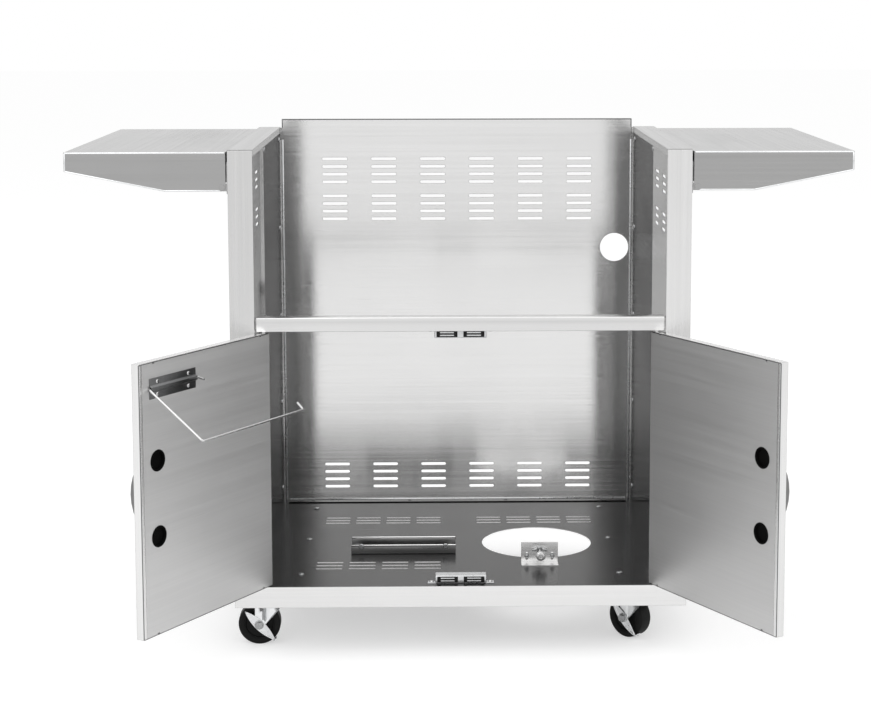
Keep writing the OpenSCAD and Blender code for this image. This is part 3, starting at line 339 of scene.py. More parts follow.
@dataclass(frozen=True)
class MouldedPolymer:
    """Moulded rubber or plastic with a fine skin, dust in patches and a soft sheen."""

    name: str
    grey: float
    roughness: float = 0.5
    dust: float = 0.03
    pebble: float = 900.0
    gloss: float = 0.3

    def build(self) -> bpy.types.Material:
        """Makes the material."""
        graph = Graph(bpy.data.materials.new(self.name))
        coords = graph.place()
        skin = graph.noise(coords, self.pebble, 2.0)
        cloud = graph.stretch(graph.noise(coords, 45.0, 3.0), 0.4, 0.75)
        bump = graph.add("Bump", {}, {"Height": skin, "Distance": 0.0001, "Strength": 0.5})
        return graph.surface({
            "Specular IOR Level": self.gloss,
            "Base Color": graph.mix(cloud * 0.7, colour(self.grey),
                                    colour(self.grey + self.dust, 0.03)),
            "Roughness": (self.roughness + 0.15 * cloud + 0.08 * skin).clamp(),
            "Normal": bump})


class Finishes:
    """Every finish on the cart, made once and looked up by name."""

    def __init__(self, opening: dict[int, float]) -> None:
        """Makes all the finishes.

        Args:
            opening: How far each door is open, in radians, by side.
        """
        x, y, z = Grain.ALONG_X, Grain.ALONG_Y, Grain.ALONG_Z
        # The sixth and seventh values are the painted top and front greys. The tray's dark floor
        # and the back panel's dark upward faces are painted shade and reflection. The rolled
        # rail's bright top over its dark face, and the inner panels' bright forward flanges, are
        # painted highlights. The caps' and shelves' top greys are painted light too.
        brushed = (
            # Left and right copies of the column steel with different greys: painted light of each
            # side, the right one lighter.
            BrushedSteel("left_column_steel", 0.69, 0.22, z, x, edge=0.0014, fold=0.15),
            BrushedSteel("right_column_steel", 0.8, 0.22, z, x, edge=0.0014, fold=0.2),
            BrushedSteel("cap_steel", 0.3, 0.22, y, x, 0.36, edge=0.0012, fold=-0.15),
            BrushedSteel("rail_steel", 0.74, 0.2, x, z),
            BrushedSteel("shelf_steel", 0.42, 0.22, y, x, 0.33, clouds=0.08),
            BrushedSteel("back_steel", 0.82, 0.12, x, z, 0.12, smears=0.03, edge=0.002,
                         fold=-0.85, pull=1.0, pull_turn=0.25),
            # Left and right copies of the vent liner steel, the left with a darker grey and rim
            # tint: painted shade and light of each side.
            BrushedSteel("left_vent_steel", 0.42, 0.2, y, z, rim=0.5, clouds=0.15),
            BrushedSteel("right_vent_steel", 0.7, 0.2, y, z, rim=0.6, clouds=0.15),
            # Left and right copies of the inner panel steel: their low greys and rim tints paint
            # the shade inside the cabinet, set per side, and their forward faces take a painted
            # highlight.
            BrushedSteel("left_panel_steel", 0.36, 0.18, y, z, None, 0.9, rim=0.2, clouds=0.25,
                         pull=0.8),
            BrushedSteel("right_panel_steel", 0.3, 0.18, y, z, None, 0.9, rim=0.3, clouds=0.25,
                         pull=0.8),
            BrushedSteel("tray_steel", 0.86, 0.19, x, y, 0.118, rim=0.85, edge=0.0012,
                         fold=-0.5),
            # Left and right copies of the door liner steel: the left painted lighter than the
            # right, as painted light of each side.
            BrushedSteel("left_door_steel", 0.72, 0.36, x, z, turn=opening[-1],
                         metallic=0.72, fold=0.35, clouds=0.07, pull=0.6),
            BrushedSteel("right_door_steel", 0.64, 0.36, x, z, turn=-opening[1],
                         metallic=0.72, fold=0.35, clouds=0.07),
            # Left and right copies of the door skin steel with different greys: painted light of
            # each side.
            BrushedSteel("left_skin_steel", 0.86, 0.2, z, x, edge=0.0016, fold=-0.3),
            BrushedSteel("right_skin_steel", 0.82, 0.2, z, x, edge=0.0016, fold=-0.3),
            BrushedSteel("rolled_steel", 0.22, 0.26, x, z, 0.95, clouds=0.12),
            BrushedSteel("clamp_steel", 0.9, 0.24, x, z, clouds=0.12, fold=-0.4),
            # The bow handle's dark grey stands in for the dark surroundings it reflects: a painted
            # reflection.
            BrushedSteel("handle_steel", 0.22, 0.16, z, x, depth=0.000006),
            BrushedSteel("channel_steel", 0.4, 0.3, y, x, clouds=0.12),
        )
        plated = (
            # Bright zinc of the caster parts, also used for rods that paint highlights on the
            # bends of the doors and shelves.
            PlatedMetal("zinc_plate", 0.86, 0.16, 0.1, 240.0),
            PlatedMetal("polished_screw", 0.66, 0.14, 0.08, 700.0, 0.0),
            PlatedMetal("dark_screw", 0.2, 0.2, 0.1, 700.0, 0.0),
            PlatedMetal("wing_nut_zinc", 0.4, 0.2, 0.2, 500.0),
            PlatedMetal("wire_chrome", 0.62, 0.18, 0.05, 500.0, 0.0),
            PlatedMetal("catch_zinc", 0.66, 0.22, 0.14, 320.0),
            # Dark steel of the towel bracket, also used for rods that paint shade on bends and
            # shadow in gaps.
            PlatedMetal("dull_bracket", 0.15, 0.26, 0.2, 300.0),
        )
        moulded = (
            MouldedPolymer("wheel_rubber", 0.005, 0.42, 0.006, 900.0, 0.16),
            MouldedPolymer("magnet_black", 0.010, 0.38, 0.012, 1200.0, 0.2),
            # Black plastic of the access plugs, also used for the painted shadow strip along the
            # back foot.
            MouldedPolymer("plug_black", 0.003, 0.5, 0.003, 1200.0, 0.04),
        )
        self.made = {finish.name: finish.build() for finish in brushed + plated + moulded}

    def get(self, name: str) -> bpy.types.Material:
        """The finish of that name."""
        return self.made[name]


def move(x: float, y: float, z: float) -> Matrix:
    """A matrix that moves."""
    return Matrix.Translation((x, y, z))


def spin(angle: float, axis: str = "Z") -> Matrix:
    """A matrix that turns by an angle in radians."""
    return Matrix.Rotation(angle, 4, axis)


def aim(position: tuple, direction: tuple, turn: float = 0.0) -> Matrix:
    """A matrix that takes +Z to a direction at a position, after a turn about Z."""
    rotation = UP.rotation_difference(Vector(direction).normalized())
    return Matrix.Translation(position) @ rotation.to_matrix().to_4x4() @ spin(turn)


class Bench:
    """Modelling operations on one mesh at a time, as done by hand."""

    @staticmethod
    def clear() -> None:
        """Leaves nothing selected."""
        bpy.ops.object.select_all(action="DESELECT")

    @staticmethod
    def take(obj: Piece) -> None:
        """Makes an object the only selected and active one."""
        Bench.clear()
        obj.select_set(True)
        bpy.context.view_layer.objects.active = obj

    @staticmethod
    @contextmanager
    def editing(obj: Piece, kind: str, chosen: bool = True) -> Iterator[None]:
        """Edit mode on one object, with all or none of its elements of a kind selected."""
        Bench.take(obj)
        bpy.ops.object.mode_set(mode="EDIT")
        bpy.ops.mesh.select_mode(type=kind)
        bpy.ops.mesh.select_all(action="SELECT" if chosen else "DESELECT")
        yield
        bpy.ops.object.mode_set(mode="OBJECT")

    @staticmethod
    @contextmanager
    def editing_faces(obj: Piece,
                      test: Callable[[bmesh.types.BMFace], bool]) -> Iterator[None]:
        """Edit mode on one object, with the faces selected that pass a test."""
        with Bench.editing(obj, "FACE", False):
            mesh = bmesh.from_edit_mesh(obj.data)
            for face in mesh.faces:
                face.select_set(test(face))
            bmesh.update_edit_mesh(obj.data)
            yield

    @staticmethod
    def added() -> Piece:
        """The primitive just added, with its place moved into its mesh."""
        bpy.ops.object.transform_apply(location=True, rotation=True, scale=True)
        return bpy.context.object

    @staticmethod
    def put(obj: Piece, matrix: Matrix) -> Piece:
        """Moves a piece's mesh by a matrix and keeps its faces outward."""
        obj.data.transform(matrix)
        if matrix.determinant() < 0:
            obj.data.flip_normals()
        obj.data.update()
        return obj

    @staticmethod
    def modify(obj: Piece, kind: str, **settings: object) -> None:
        """Adds a modifier with some settings and applies it."""
        Bench.take(obj)
        modifier = obj.modifiers.new(kind.lower(), kind)
        for key, value in settings.items():
            setattr(modifier, key, value)
        bpy.ops.object.modifier_apply(modifier=modifier.name)

    @staticmethod
    def combine(obj: Piece, operation: str, *tools: Piece) -> None:
        """Cuts other objects out of one, or adds or intersects them, and removes them."""
        for tool in tools:
            Bench.modify(obj, "BOOLEAN", operation=operation, solver="EXACT", object=tool)
            bpy.data.objects.remove(tool)

    @staticmethod
    def smooth(obj: Piece, angle: float = 32.0) -> Piece:
        """Shades a piece smooth up to an angle in degrees."""
        Bench.take(obj)
        bpy.ops.object.shade_smooth_by_angle(angle=math.radians(angle))
        return obj

    @staticmethod
    def round_edges(obj: Piece, width: float, segments: int = 2,
                    angle: float = 35.0) -> Piece:
        """Rounds the sharp edges and smooths the result.

        Args:
            obj: The object.
            width: Width of the rounding in metres.
            segments: Faces across the rounding.
            angle: Least angle in degrees between faces that is rounded.

        Returns:
            The same object.
        """
        Bench.modify(obj, "BEVEL", width=width, segments=segments, limit_method="ANGLE",
                     angle_limit=math.radians(angle), use_clamp_overlap=True)
        return Bench.smooth(obj)

    @staticmethod
    def block(low: tuple, high: tuple) -> Piece:
        """A box between two opposite corners, in metres."""
        lo, hi = (Vector([pick(pair) for pair in zip(low, high)]) for pick in (min, max))
        Bench.clear()
        bpy.ops.mesh.primitive_cube_add(size=1.0, location=(lo + hi) / 2, scale=hi - lo)
        return Bench.added()

    @staticmethod
    def tube(radius: float, length: float, sides: int = 48) -> Piece:
        """A closed cylinder from the origin up Z."""
        Bench.clear()
        bpy.ops.mesh.primitive_cylinder_add(vertices=sides, radius=radius, depth=length,
                                            location=(0, 0, length / 2))
        return Bench.added()

    @staticmethod
    def rod(start: tuple, end: tuple, radius: float) -> Piece:
        """A straight rod with softened ends from one point to another."""
        way = Vector(end) - Vector(start)
        rod = Bench.round_edges(Bench.tube(radius, way.length, 24), 0.3 * radius)
        return Bench.put(rod, Matrix.Translation(start)
                         @ way.to_track_quat("Z", "Y").to_matrix().to_4x4())

    @staticmethod
    def lathe(profile: list[tuple[float, float]], sides: int = 64,
              closed: bool = False) -> Piece:
        """Walks a ring along a profile about Z by extruding and scaling it.

        Args:
            profile: (radius, height) pairs in metres.
            sides: Sides of the ring.
            closed: Whether the last point meets the first, as on a wheel with a bore.

        Returns:
            The new object.
        """
        Bench.clear()
        radius, height = profile[0]
        bpy.ops.mesh.primitive_circle_add(vertices=sides, radius=radius,
                                          location=(0, 0, height), fill_type="NOTHING")
        obj = Bench.added()
        with Bench.editing(obj, "EDGE"):
            if not closed:
                bpy.ops.mesh.edge_face_add()
            for following, level in profile[1:] + (profile[:1] if closed else []):
                bpy.ops.mesh.extrude_edges_move(
                    TRANSFORM_OT_translate={"value": (0, 0, level - height)})
                share = following / radius
                bpy.ops.transform.resize(value=(share, share, 1.0),
                                         center_override=(0, 0, level))
                radius, height = following, level
            if not closed:
                bpy.ops.mesh.edge_face_add()
            bpy.ops.mesh.select_mode(type="VERT")
            bpy.ops.mesh.select_all(action="SELECT")
            bpy.ops.mesh.remove_doubles(threshold=0.000005)
            bpy.ops.mesh.normals_make_consistent(inside=False)
        return obj

    @staticmethod
    def wire(radius: float, start: Vector, heading: Vector, steps: list[tuple],
             sides: int) -> Piece:
        """Draws out a round wire by extruding a disc and swinging it round each bend.

        Args:
            radius: The wire's radius.
            start: Centre of its first end.
            heading: Direction in which it sets off.
            steps: ("run", length) or ("bend", new heading, bend radius).
            sides: Sides of the disc.

        Returns:
            The new object with both ends closed.
        """
        Bench.clear()
        bpy.ops.mesh.primitive_circle_add(vertices=sides, radius=radius, fill_type="NGON")
        obj = Bench.put(Bench.added(), aim(start, heading))
        at, way = start.copy(), heading.normalized()
        with Bench.editing(obj, "FACE"):
            for step in steps:
                if step[0] == "run":
                    bpy.ops.mesh.extrude_region_move(
                        TRANSFORM_OT_translate={"value": way * step[1]})
                    at = at + way * step[1]
                    continue
                axis = way.cross(step[1]).normalized()
                angle = way.angle(step[1])
                centre = at + axis.cross(way).normalized() * step[2]
                count = max(3, int(math.degrees(angle) / 9))
                for _ in range(count):
                    part = spin(angle / count, axis)
                    Bench.swing(part, centre)
                    at = centre + part @ (at - centre)
                    way = (part @ way).normalized()
            bpy.ops.mesh.select_all(action="SELECT")
            bpy.ops.mesh.normals_make_consistent(inside=False)
        return obj

    @staticmethod
    def swing(part: Matrix, centre: Vector) -> None:
        """Extrudes the chosen face and swings it about a point."""
        bpy.ops.mesh.extrude_region_move(TRANSFORM_OT_translate={"value": (0, 0, 0)})
        mesh = bmesh.from_edit_mesh(bpy.context.object.data)
        for vertex in mesh.verts:
            if vertex.select:
                vertex.co = centre + part @ (vertex.co - centre)
        bmesh.update_edit_mesh(bpy.context.object.data)

    @staticmethod
    def slice(obj: Piece, point: tuple, normal: tuple) -> None:
        """Cuts away what lies on the normal's side of a plane and closes the cut."""
        with Bench.editing(obj, "VERT"):
            bpy.ops.mesh.bisect(plane_co=point, plane_no=normal, use_fill=True,
                                clear_outer=True)

    @staticmethod
    def join(parts: list[Piece]) -> Piece:
        """Joins several objects into the first."""
        Bench.take(parts[0])
        for part in parts:
            part.select_set(True)
        if len(parts) > 1:
            bpy.ops.object.join()
        return parts[0]

    @staticmethod
    def copies(obj: Piece, matrices: Iterable[Matrix]) -> list[Piece]:
        """Copies with their own meshes, placed by matrices, in place of the original."""
        made = []
        for matrix in matrices:
            twin = bpy.data.objects.new(obj.name, obj.data.copy())
            bpy.context.scene.collection.objects.link(twin)
            made.append(Bench.put(twin, matrix))
        bpy.data.objects.remove(obj)
        return made


@dataclass
class Place:
    """Places on the cart, in metres, that several assemblies share."""

    floor: float = 0.1265
    rail: float = 0.6104
    shift: float = 0.0
    pivot: Vector = field(default_factory=lambda: Vector((0.3635, 0.008, 0.0)))
    opening: dict[int, float] = field(default_factory=dict)
    door_face: float = 0.0007
    door_back: float = 0.0167
    door_middle: float = 0.3682

    @classmethod
    def read(cls) -> "Place":
        """Reads the door hinges, which set the shift and how far each door is open."""
        place = cls()
        for joint in frame["record"]["behaviour"]["joints"]:
            for hand in Handed:
                if joint["name"] == hand.word + "_door_hinge":
                    place.shift = place.pivot.y - joint["pos_m"][1]
                    place.opening[hand.value] = math.radians(-joint["range_deg"][0])
        return place

    @property
    def cart(self) -> Matrix:
        """From the cart's own coordinates, with Y from its front, to the frame."""
        return move(0, -self.shift, 0)

    def door(self, side: int) -> Matrix:
        """A closed right-hand door to its open place, mirrored for side -1."""
        return (self.cart @ Matrix.Diagonal((float(side), 1.0, 1.0, 1.0))
                @ Matrix.Translation(self.pivot) @ spin(self.opening[side])
                @ Matrix.Translation(-self.pivot))


@dataclass
class Assembly:
    """Base of the sub-assemblies: dresses, places and reports their pieces."""

    place: Place
    finishes: Finishes

    def carry(self, finish: str, *nodes: str) -> None:
        """Gives CAD nodes whose shape is right a finish in their own material slots."""
        for node in nodes:
            for slot in frame["nodes"][node].material_slots:
                slot.material = self.finishes.get(finish)
            LOG.info("%s keeps its shape and takes %s", node, finish)

    def finish(self, name: str, parts: list[Piece], body: str, finish: str,
               slot: str, *replaces: str, matrix: Matrix | None = None) -> None:
        """Joins parts into a piece and gives it its place, material, body and nodes.

        Args:
            name: The piece's name.
            parts: What it is made of.
            body: The body that it rides on.
            finish: The finish's name.
            slot: The record's material slot; not used.
            *replaces: The nodes that it stands for.
            matrix: Where the parts go, if they aren't there yet.
        """
        obj = Bench.join(parts)
        obj.name = obj.data.name = name
        if matrix:
            Bench.put(obj, matrix)
        obj.data.materials.clear()
        obj.data.materials.append(self.finishes.get(finish))
        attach(obj, body)
        if replaces:
            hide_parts(*replaces)
        LOG.info("%s rides on %s, %d faces", obj.name, body, len(obj.data.polygons))


@dataclass
class Body(Assembly):
    """The folded base, side boxes, back panel and front rail."""

    rail_height: float = 0.0263
    rail_front: float = 0.0013
    rail_depth: float = 0.027
    rail_half: float = 0.377
    tongue_left: float = -0.3876
    tongue_right: float = 0.3796
    tongue_inset: float = 0.003
    sheet: float = 0.0012
    foot: float = 0.026
    flange_drop: float = 0.0258
    hem: float = 0.0021
    hem_out: float = 0.6
    foot_hem: float = 0.0013
    foot_hem_up: float = 0.0004
    # Radius and place of the black strip that paints the shadow under the foot's front edge.
    seal: float = 0.0012
    seal_at: tuple[float, float] = (-0.0006, 0.0008)
    bend: float = 0.0011

    def build(self) -> None:
        """Dresses the sheet parts and models the rail, the rolled edges, and dark rods that paint
        shade and shadow.
        """
        self.carry("tray_steel", "base_tray")
        self.carry("channel_steel", "caster_channels")
        for hand in Handed:
            # Each side takes its own painted-light copy of the column, vent and panel steel.
            self.carry(hand.word + "_column_steel", hand.word + "_side_skin")
            self.carry(hand.word + "_vent_steel", hand.word + "_vent_liner")
            self.carry(hand.word + "_panel_steel", hand.word + "_inner_panel")
        self.carry("cap_steel", "left_top_cap", "right_top_cap")
        self.carry("back_steel", "back_panel")
        self.carry("polished_screw", "door_pivot_pins")
        self.build_rail()
        self.build_hems()
        self.build_rims()

    def build_hems(self) -> None:
        """The rolled edges in the back corners and along the foot, and a black strip along the
        foot's front edge, a painted shadow.
        """
        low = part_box("back_panel")[0]
        panel, floor = low.y + self.foot, low.z + self.sheet
        hems = []
        for hand in Handed:
            near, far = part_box(hand.word + "_inner_panel")
            edge = far.x if hand is Handed.LEFT else near.x
            x, y = edge + hand.value * self.hem, panel - self.sheet - self.hem_out * self.hem
            hems.append(Bench.rod((x, y, floor), (x, y, far.z - self.flange_drop), self.hem))
        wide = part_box("right_inner_panel")[0].x - 2 * self.hem
        hem, seal = (Bench.rod((-wide, y, z), (wide, y, z), radius) for y, z, radius in (
            (panel - self.foot_hem, floor + self.foot_hem_up, self.foot_hem),
            (low.y + self.seal_at[0], low.z + self.seal_at[1], self.seal)))
        # A black rod paints the shadow line between the foot and the floor.
        self.finish("foot_seal", [seal], "cart", "plug_black", "magnet")
        self.finish("back_hems", hems + [hem], "cart", "catch_zinc", "face_steel")

    def build_rims(self) -> None:
        """Dark rods along the top and the free sides of the back panel, painted shade on its
        bends.
        """
        (low, high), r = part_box("back_panel"), self.bend
        panel, side_top = low.y + self.foot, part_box("right_inner_panel")[1].z
        left, right, top = low.x + r, high.x - r, high.z - r
        rims = [Bench.rod(start, end, r) for start, end in (
            ((left, panel, top), (right, panel, top)),
            ((left, panel, side_top), (left, panel, top)),
            ((right, panel, side_top), (right, panel, top)))]
        self.finish("back_rims", rims, "cart", "dull_bracket", "face_steel")

    def build_rail(self) -> None:
        """The rounded box rail with the narrower tongues at its ends."""
        low, inset = self.place.rail, self.tongue_inset
        high, back = low + self.rail_height, self.rail_front + self.rail_depth
        bar = Bench.block((-self.rail_half, self.rail_front, low), (self.rail_half, back, high))
        tongue = Bench.block((self.tongue_left, self.rail_front + inset, low + inset),
                             (self.tongue_right, back - inset, high - inset))
        parts = [Bench.round_edges(bar, 0.0014, 3), Bench.round_edges(tongue, 0.0008)]
        self.finish("front_rail_bar", parts, "cart", "rail_steel", "face_steel", "front_rail",
                    matrix=self.place.cart)


class Fastener:
    """Pan head screws with a cross recess, and hexagon nuts."""

    @staticmethod
    def screw(radius: float, height: float) -> Piece:
        """A domed head that stands on the origin and faces +Z."""
        r, h = radius, height
        head = Bench.lathe([(r, -0.0002), (r, 0.25 * h), (0.97 * r, 0.5 * h),
                            (0.86 * r, 0.76 * h), (0.66 * r, 0.93 * h), (0.4 * r, h),
                            (0.0001, h)], 32)
        for turn in (0.0, math.pi / 2):
            arm = Bench.block((-0.52 * r, -0.085 * r, 0.45 * h), (0.52 * r, 0.085 * r, 1.4 * h))
            Bench.combine(head, "DIFFERENCE", Bench.put(arm, spin(turn)))
        return Bench.smooth(head, 40)

    @staticmethod
    def nut(radius: float, height: float) -> Piece:
        """A hexagon nut or head with chamfered corners, from the origin up Z."""
        nut = Bench.tube(radius, height, 6)
        cone = Bench.lathe([(radius * 1.3, -radius), (radius * 1.3, height * 0.55),
                            (radius * 0.84, height + 0.0001)], 48)
        Bench.combine(nut, "INTERSECT", cone)
        return Bench.smooth(nut, 20)


@dataclass
class Screws(Assembly):
    """The visible screws of the cabinet, one head modelled and copied."""

    wall: tuple[float, float] = (0.3808, 0.6003)
    wall_low: float = 0.1635
    wall_step: float = 0.1897
    lip: tuple[float, float] = (0.246, 0.928)
    foot_pitch: float = 0.10535
    foot_inset: tuple[float, float] = (0.0155, 0.0012)
    wall_head: tuple[float, float] = (0.0055, 0.0026)
    foot_head: tuple[float, float] = (0.0032, 0.0016)

    def build(self) -> None:
        """Places the wall and lip screws and the rivets of the foot, and dresses the floor and
        catch screws.
        """
        wall_x, wall_y = self.wall
        spots = [(wall_y, self.wall_low + row * self.wall_step) for row in range(5)]
        places = [self.place.cart @ aim((side * wall_x, y, z), (-side, 0, 0),
                                        0.7 * index + 0.3 * side)
                  for side in SIDES for index, (y, z) in enumerate(spots + [self.lip])]
        self.finish("wall_screw_heads", Bench.copies(Fastener.screw(*self.wall_head), places),
                    "cart", "wing_nut_zinc", "screw", "wall_screws")
        low, (back, up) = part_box("back_panel")[0], self.foot_inset
        places = [move(step * self.foot_pitch, low.y + back, low.z + up)
                  for step in (-3, -1, 1, 3)]
        self.finish("foot_rivets", Bench.copies(Fastener.screw(*self.foot_head), places),
                    "cart", "dark_screw", "screw")
        self.carry("wing_nut_zinc", "floor_screws")
        self.carry("polished_screw", "catch_screws")


@dataclass
class CabinetFittings(Assembly):
    """Catches, floor rail and bottle clamp."""

    rail_front: float = 0.0187
    rail_sheet: float = 0.0015
    rail_hem: float = 0.0017
    catch_width: float = 0.0966
    catch_depth: float = 0.0246
    catch_height: float = 0.015
    catch_front: float = 0.017
    skin: float = 0.0015
    ear: float = 0.014
    ear_depth: float = 0.015
    magnet_at: float = 0.02495
    magnet: tuple[float, float, float] = (0.0386, 0.018, 0.012)
    magnet_inset: float = 0.0016
    bar: tuple[float, float, float] = (0.026, 0.0018, 0.0024)
    bar_row: float = 0.0026
    clamp_at: tuple[float, float, float] = (0.155, 0.1498, 0.153)
    nut_radius: float = 0.0074
    wing: tuple[float, float] = (0.0056, 0.0042)
    wing_at: tuple[float, float, float] = (0.0084, 0.0022, 0.0058)
    wing_stretch: float = 1.3
    wing_turn: float = -0.5
    wing_lean: float = -0.55
    slot_bolt_x: float = 0.0247
    slot_bolt_up: float = 0.0135
    slot_head: tuple[float, float] = (0.0036, 0.0022)
    slot_washer: float = 0.0007
    strip_back: float = 0.003
    strip_half: tuple[float, float, float] = (0.0317, 0.001, 0.005)
    screw_radius: float = 0.003
    screw_reach: float = 0.050
    thread_start: float = -0.020
    thread_pitch: float = 0.0012
    thread_depth: float = 0.0006
    knob: tuple[float, float] = (0.00875, 0.009)
    knob_sides: int = 48

    def build(self) -> None:
        """Models the fittings."""
        self.build_catches()
        self.build_floor_rail()
        self.carry("polished_screw", "clamp_pad")
        self.carry("clamp_steel", "clamp_bracket")
        self.build_clamp_hardware()
        self.build_clamp_screw()

    @property
    def clamp(self) -> Matrix:
        """From a frame whose +Z runs forward along the clamp's screw to the cart's."""
        x, y, z = self.clamp_at
        return aim((x, y - self.place.shift, z), (0, -1, 0))

    def build_floor_rail(self) -> None:
        """A folded channel, low in front and high behind, with a rolled edge on each wall."""
        (low, high), thick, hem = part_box("bin_rail"), self.rail_sheet, self.rail_hem
        parts = [Bench.block(low, (high.x, high.y, low.z + thick))]
        for y, top in ((low.y, low.z + self.rail_front), (high.y - thick, high.z)):
            wall = Bench.block((low.x, y, low.z), (high.x, y + thick, top - hem))
            y += thick / 2
            parts += [Bench.round_edges(wall, 0.0003),
                      Bench.rod((low.x, y, top - hem), (high.x, y, top - hem), hem)]
        self.finish("floor_rail", parts, "cart", "rolled_steel", "rail_steel", "bin_rail")

    def build_catches(self) -> None:
        """The folded cases with rounded corners, their magnets and pole bars."""
        half, top, skin, inset = (self.catch_width / 2, self.catch_height, self.skin,
                                  self.magnet_inset)
        (long, deep, tall), (reach, thick, thin) = self.magnet, self.bar
        pocket = long / 2 + 0.0002
        case = Bench.block((-half, 0, 0), (half, self.catch_depth, top))
        Bench.round_edges(case, 0.0016, 4)
        ears, magnets, bars = [], [], []
        for side in SIDES:
            x = side * self.magnet_at
            Bench.combine(case, "DIFFERENCE", Bench.block(
                (x - pocket, -0.001, skin), (x + pocket, deep + inset, top - skin)))
            ear = Bench.block((side * (half - 0.002), 0, 0),
                              (side * (half + self.ear), self.ear_depth, skin))
            ears.append(Bench.round_edges(ear, 0.0005))
            magnet = Bench.block((x - long / 2, inset, skin),
                                 (x + long / 2, inset + deep, skin + tall))
            magnets.append(Bench.round_edges(magnet, 0.0006, 3))
            for row in SIDES:
                z = skin + tall / 2 + row * self.bar_row
                bar = Bench.block((x - reach / 2, 0, z - thin / 2),
                                  (x + reach / 2, thick, z + thin / 2))
                bars.append(Bench.round_edges(bar, 0.0003))
        case = Bench.smooth(Bench.join([case] + ears))
        front = self.place.cart @ move(0, self.catch_front, 0)
        places = (front @ move(0, 0, self.place.floor),
                  front @ move(0, 0, self.place.rail) @ Matrix.Diagonal((1, 1, -1, 1)))
        for name, parts, finish, slot, nodes in (
                ("catch_case", [case], "catch_zinc", "catch_steel",
                 ("bottom_catch_case", "top_catch_case")),
                ("catch_magnet", magnets, "magnet_black", "magnet", ("catch_magnets",) * 2),
                ("catch_pole", bars, "catch_zinc", "catch_steel", ("catch_pole_bars",) * 2)):
            pair = Bench.copies(Bench.join(parts), places)
            for level, piece, node in zip(("lower_", "upper_"), pair, nodes):
                self.finish(level + name, [piece], "cart", finish, slot, node)

    def build_clamp_hardware(self) -> None:
        """The wing nut, the two slot bolts with washers and the strip behind."""
        r, (wing_radius, thick) = self.nut_radius, self.wing
        parts = [Bench.smooth(Bench.lathe([(0.0034, 0.0002), (r, 0.0), (r, 0.0026),
                                           (0.0068, 0.0044), (0.0058, 0.007),
                                           (0.0034, 0.007)], 40), 30)]
        out, side_on, up = self.wing_at
        for side in SIDES:
            wing = Bench.put(Bench.tube(wing_radius, thick, 32), move(side * out, side_on, up)
                             @ spin(side * self.wing_turn) @ spin(side * self.wing_lean, "Y")
                             @ spin(math.pi / 2, "X")
                             @ Matrix.Diagonal((self.wing_stretch, 1.0, 1.0, 1.0))
                             @ move(0, 0, -thick / 2))
            parts.append(Bench.round_edges(wing, 0.0011, 3))
        pieces = [Bench.put(Bench.join(parts), self.clamp)]
        x, y = self.clamp_at[0], self.clamp_at[1] - self.place.shift
        level = self.place.floor + self.slot_bolt_up
        for side in SIDES:
            washer = Bench.lathe([(0.0046, 0.0), (0.0046, self.slot_washer),
                                  (0.0018, self.slot_washer)], 32)
            head = Bench.put(Fastener.screw(*self.slot_head), move(0, 0, self.slot_washer))
            spot = (x + side * self.slot_bolt_x, y, level)
            pieces.append(Bench.put(Bench.join([washer, head]),
                                    aim(spot, (0, -1, 0), side * 0.5)))
        middle, half = Vector((x, y + self.strip_back, level)), Vector(self.strip_half)
        strip = Bench.block(middle - half, middle + half)
        self.finish("clamp_fasteners", pieces + [Bench.round_edges(strip, 0.0004)], "cart",
                    "wing_nut_zinc", "screw", "clamp_hardware")

    def build_thread(self) -> Piece:
        """The coiled ridge of the clamp's screw."""
        start, pitch = self.thread_start, self.thread_pitch
        Bench.clear()
        bpy.ops.mesh.primitive_circle_add(vertices=3, radius=0.00052, fill_type="NOTHING",
                                          rotation=(math.pi / 2, 0, 0))
        ridge = Bench.put(Bench.added(), move(self.screw_radius - self.thread_depth, 0, start))
        turns = int((self.screw_reach - self.knob[1] - start) / pitch)
        Bench.modify(ridge, "SCREW", axis="Z", screw_offset=pitch, iterations=turns, steps=18,
                     render_steps=18, use_merge_vertices=False)
        with Bench.editing(ridge, "EDGE", False):
            bpy.ops.mesh.select_non_manifold()
            bpy.ops.mesh.edge_face_add()
            bpy.ops.mesh.select_all(action="SELECT")
            bpy.ops.mesh.normals_make_consistent(inside=False)
        return ridge

    def build_clamp_screw(self) -> None:
        """The threaded rod and its grip knob."""
        reach, start, sides = self.screw_reach, self.thread_start, self.knob_sides
        root = self.screw_radius - self.thread_depth
        core = Bench.lathe([(0.0018, start - 0.0035), (0.0018, start), (root, start),
                            (root, reach - 0.004)], 24)
        grip, thick = self.knob
        foot = reach - thick
        knob = Bench.lathe([(0.0045, foot), (grip - 0.0008, foot), (grip, foot + 0.0008),
                            (grip, reach - 0.0012), (grip - 0.0012, reach - 0.0002),
                            (0.0042, reach), (0.0036, reach - 0.0008),
                            (0.0001, reach - 0.0008)], sides)

        def grooved(face: bmesh.types.BMFace) -> bool:
            """Whether a face is every second one round the grip."""
            centre = face.calc_center_median()
            ring = round(math.atan2(centre.y, centre.x) / math.tau * sides - 0.5)
            return math.hypot(centre.x, centre.y) > grip * 0.97 and ring % 2 == 0

        with Bench.editing_faces(knob, grooved):
            bpy.ops.mesh.inset(thickness=0.0001, depth=-0.0004)
        self.finish("clamp_thumbscrew", [core, self.build_thread(), Bench.smooth(knob, 25)],
                    "clamp_screw", "polished_screw", "screw", "clamp_screw",
                    matrix=self.clamp)


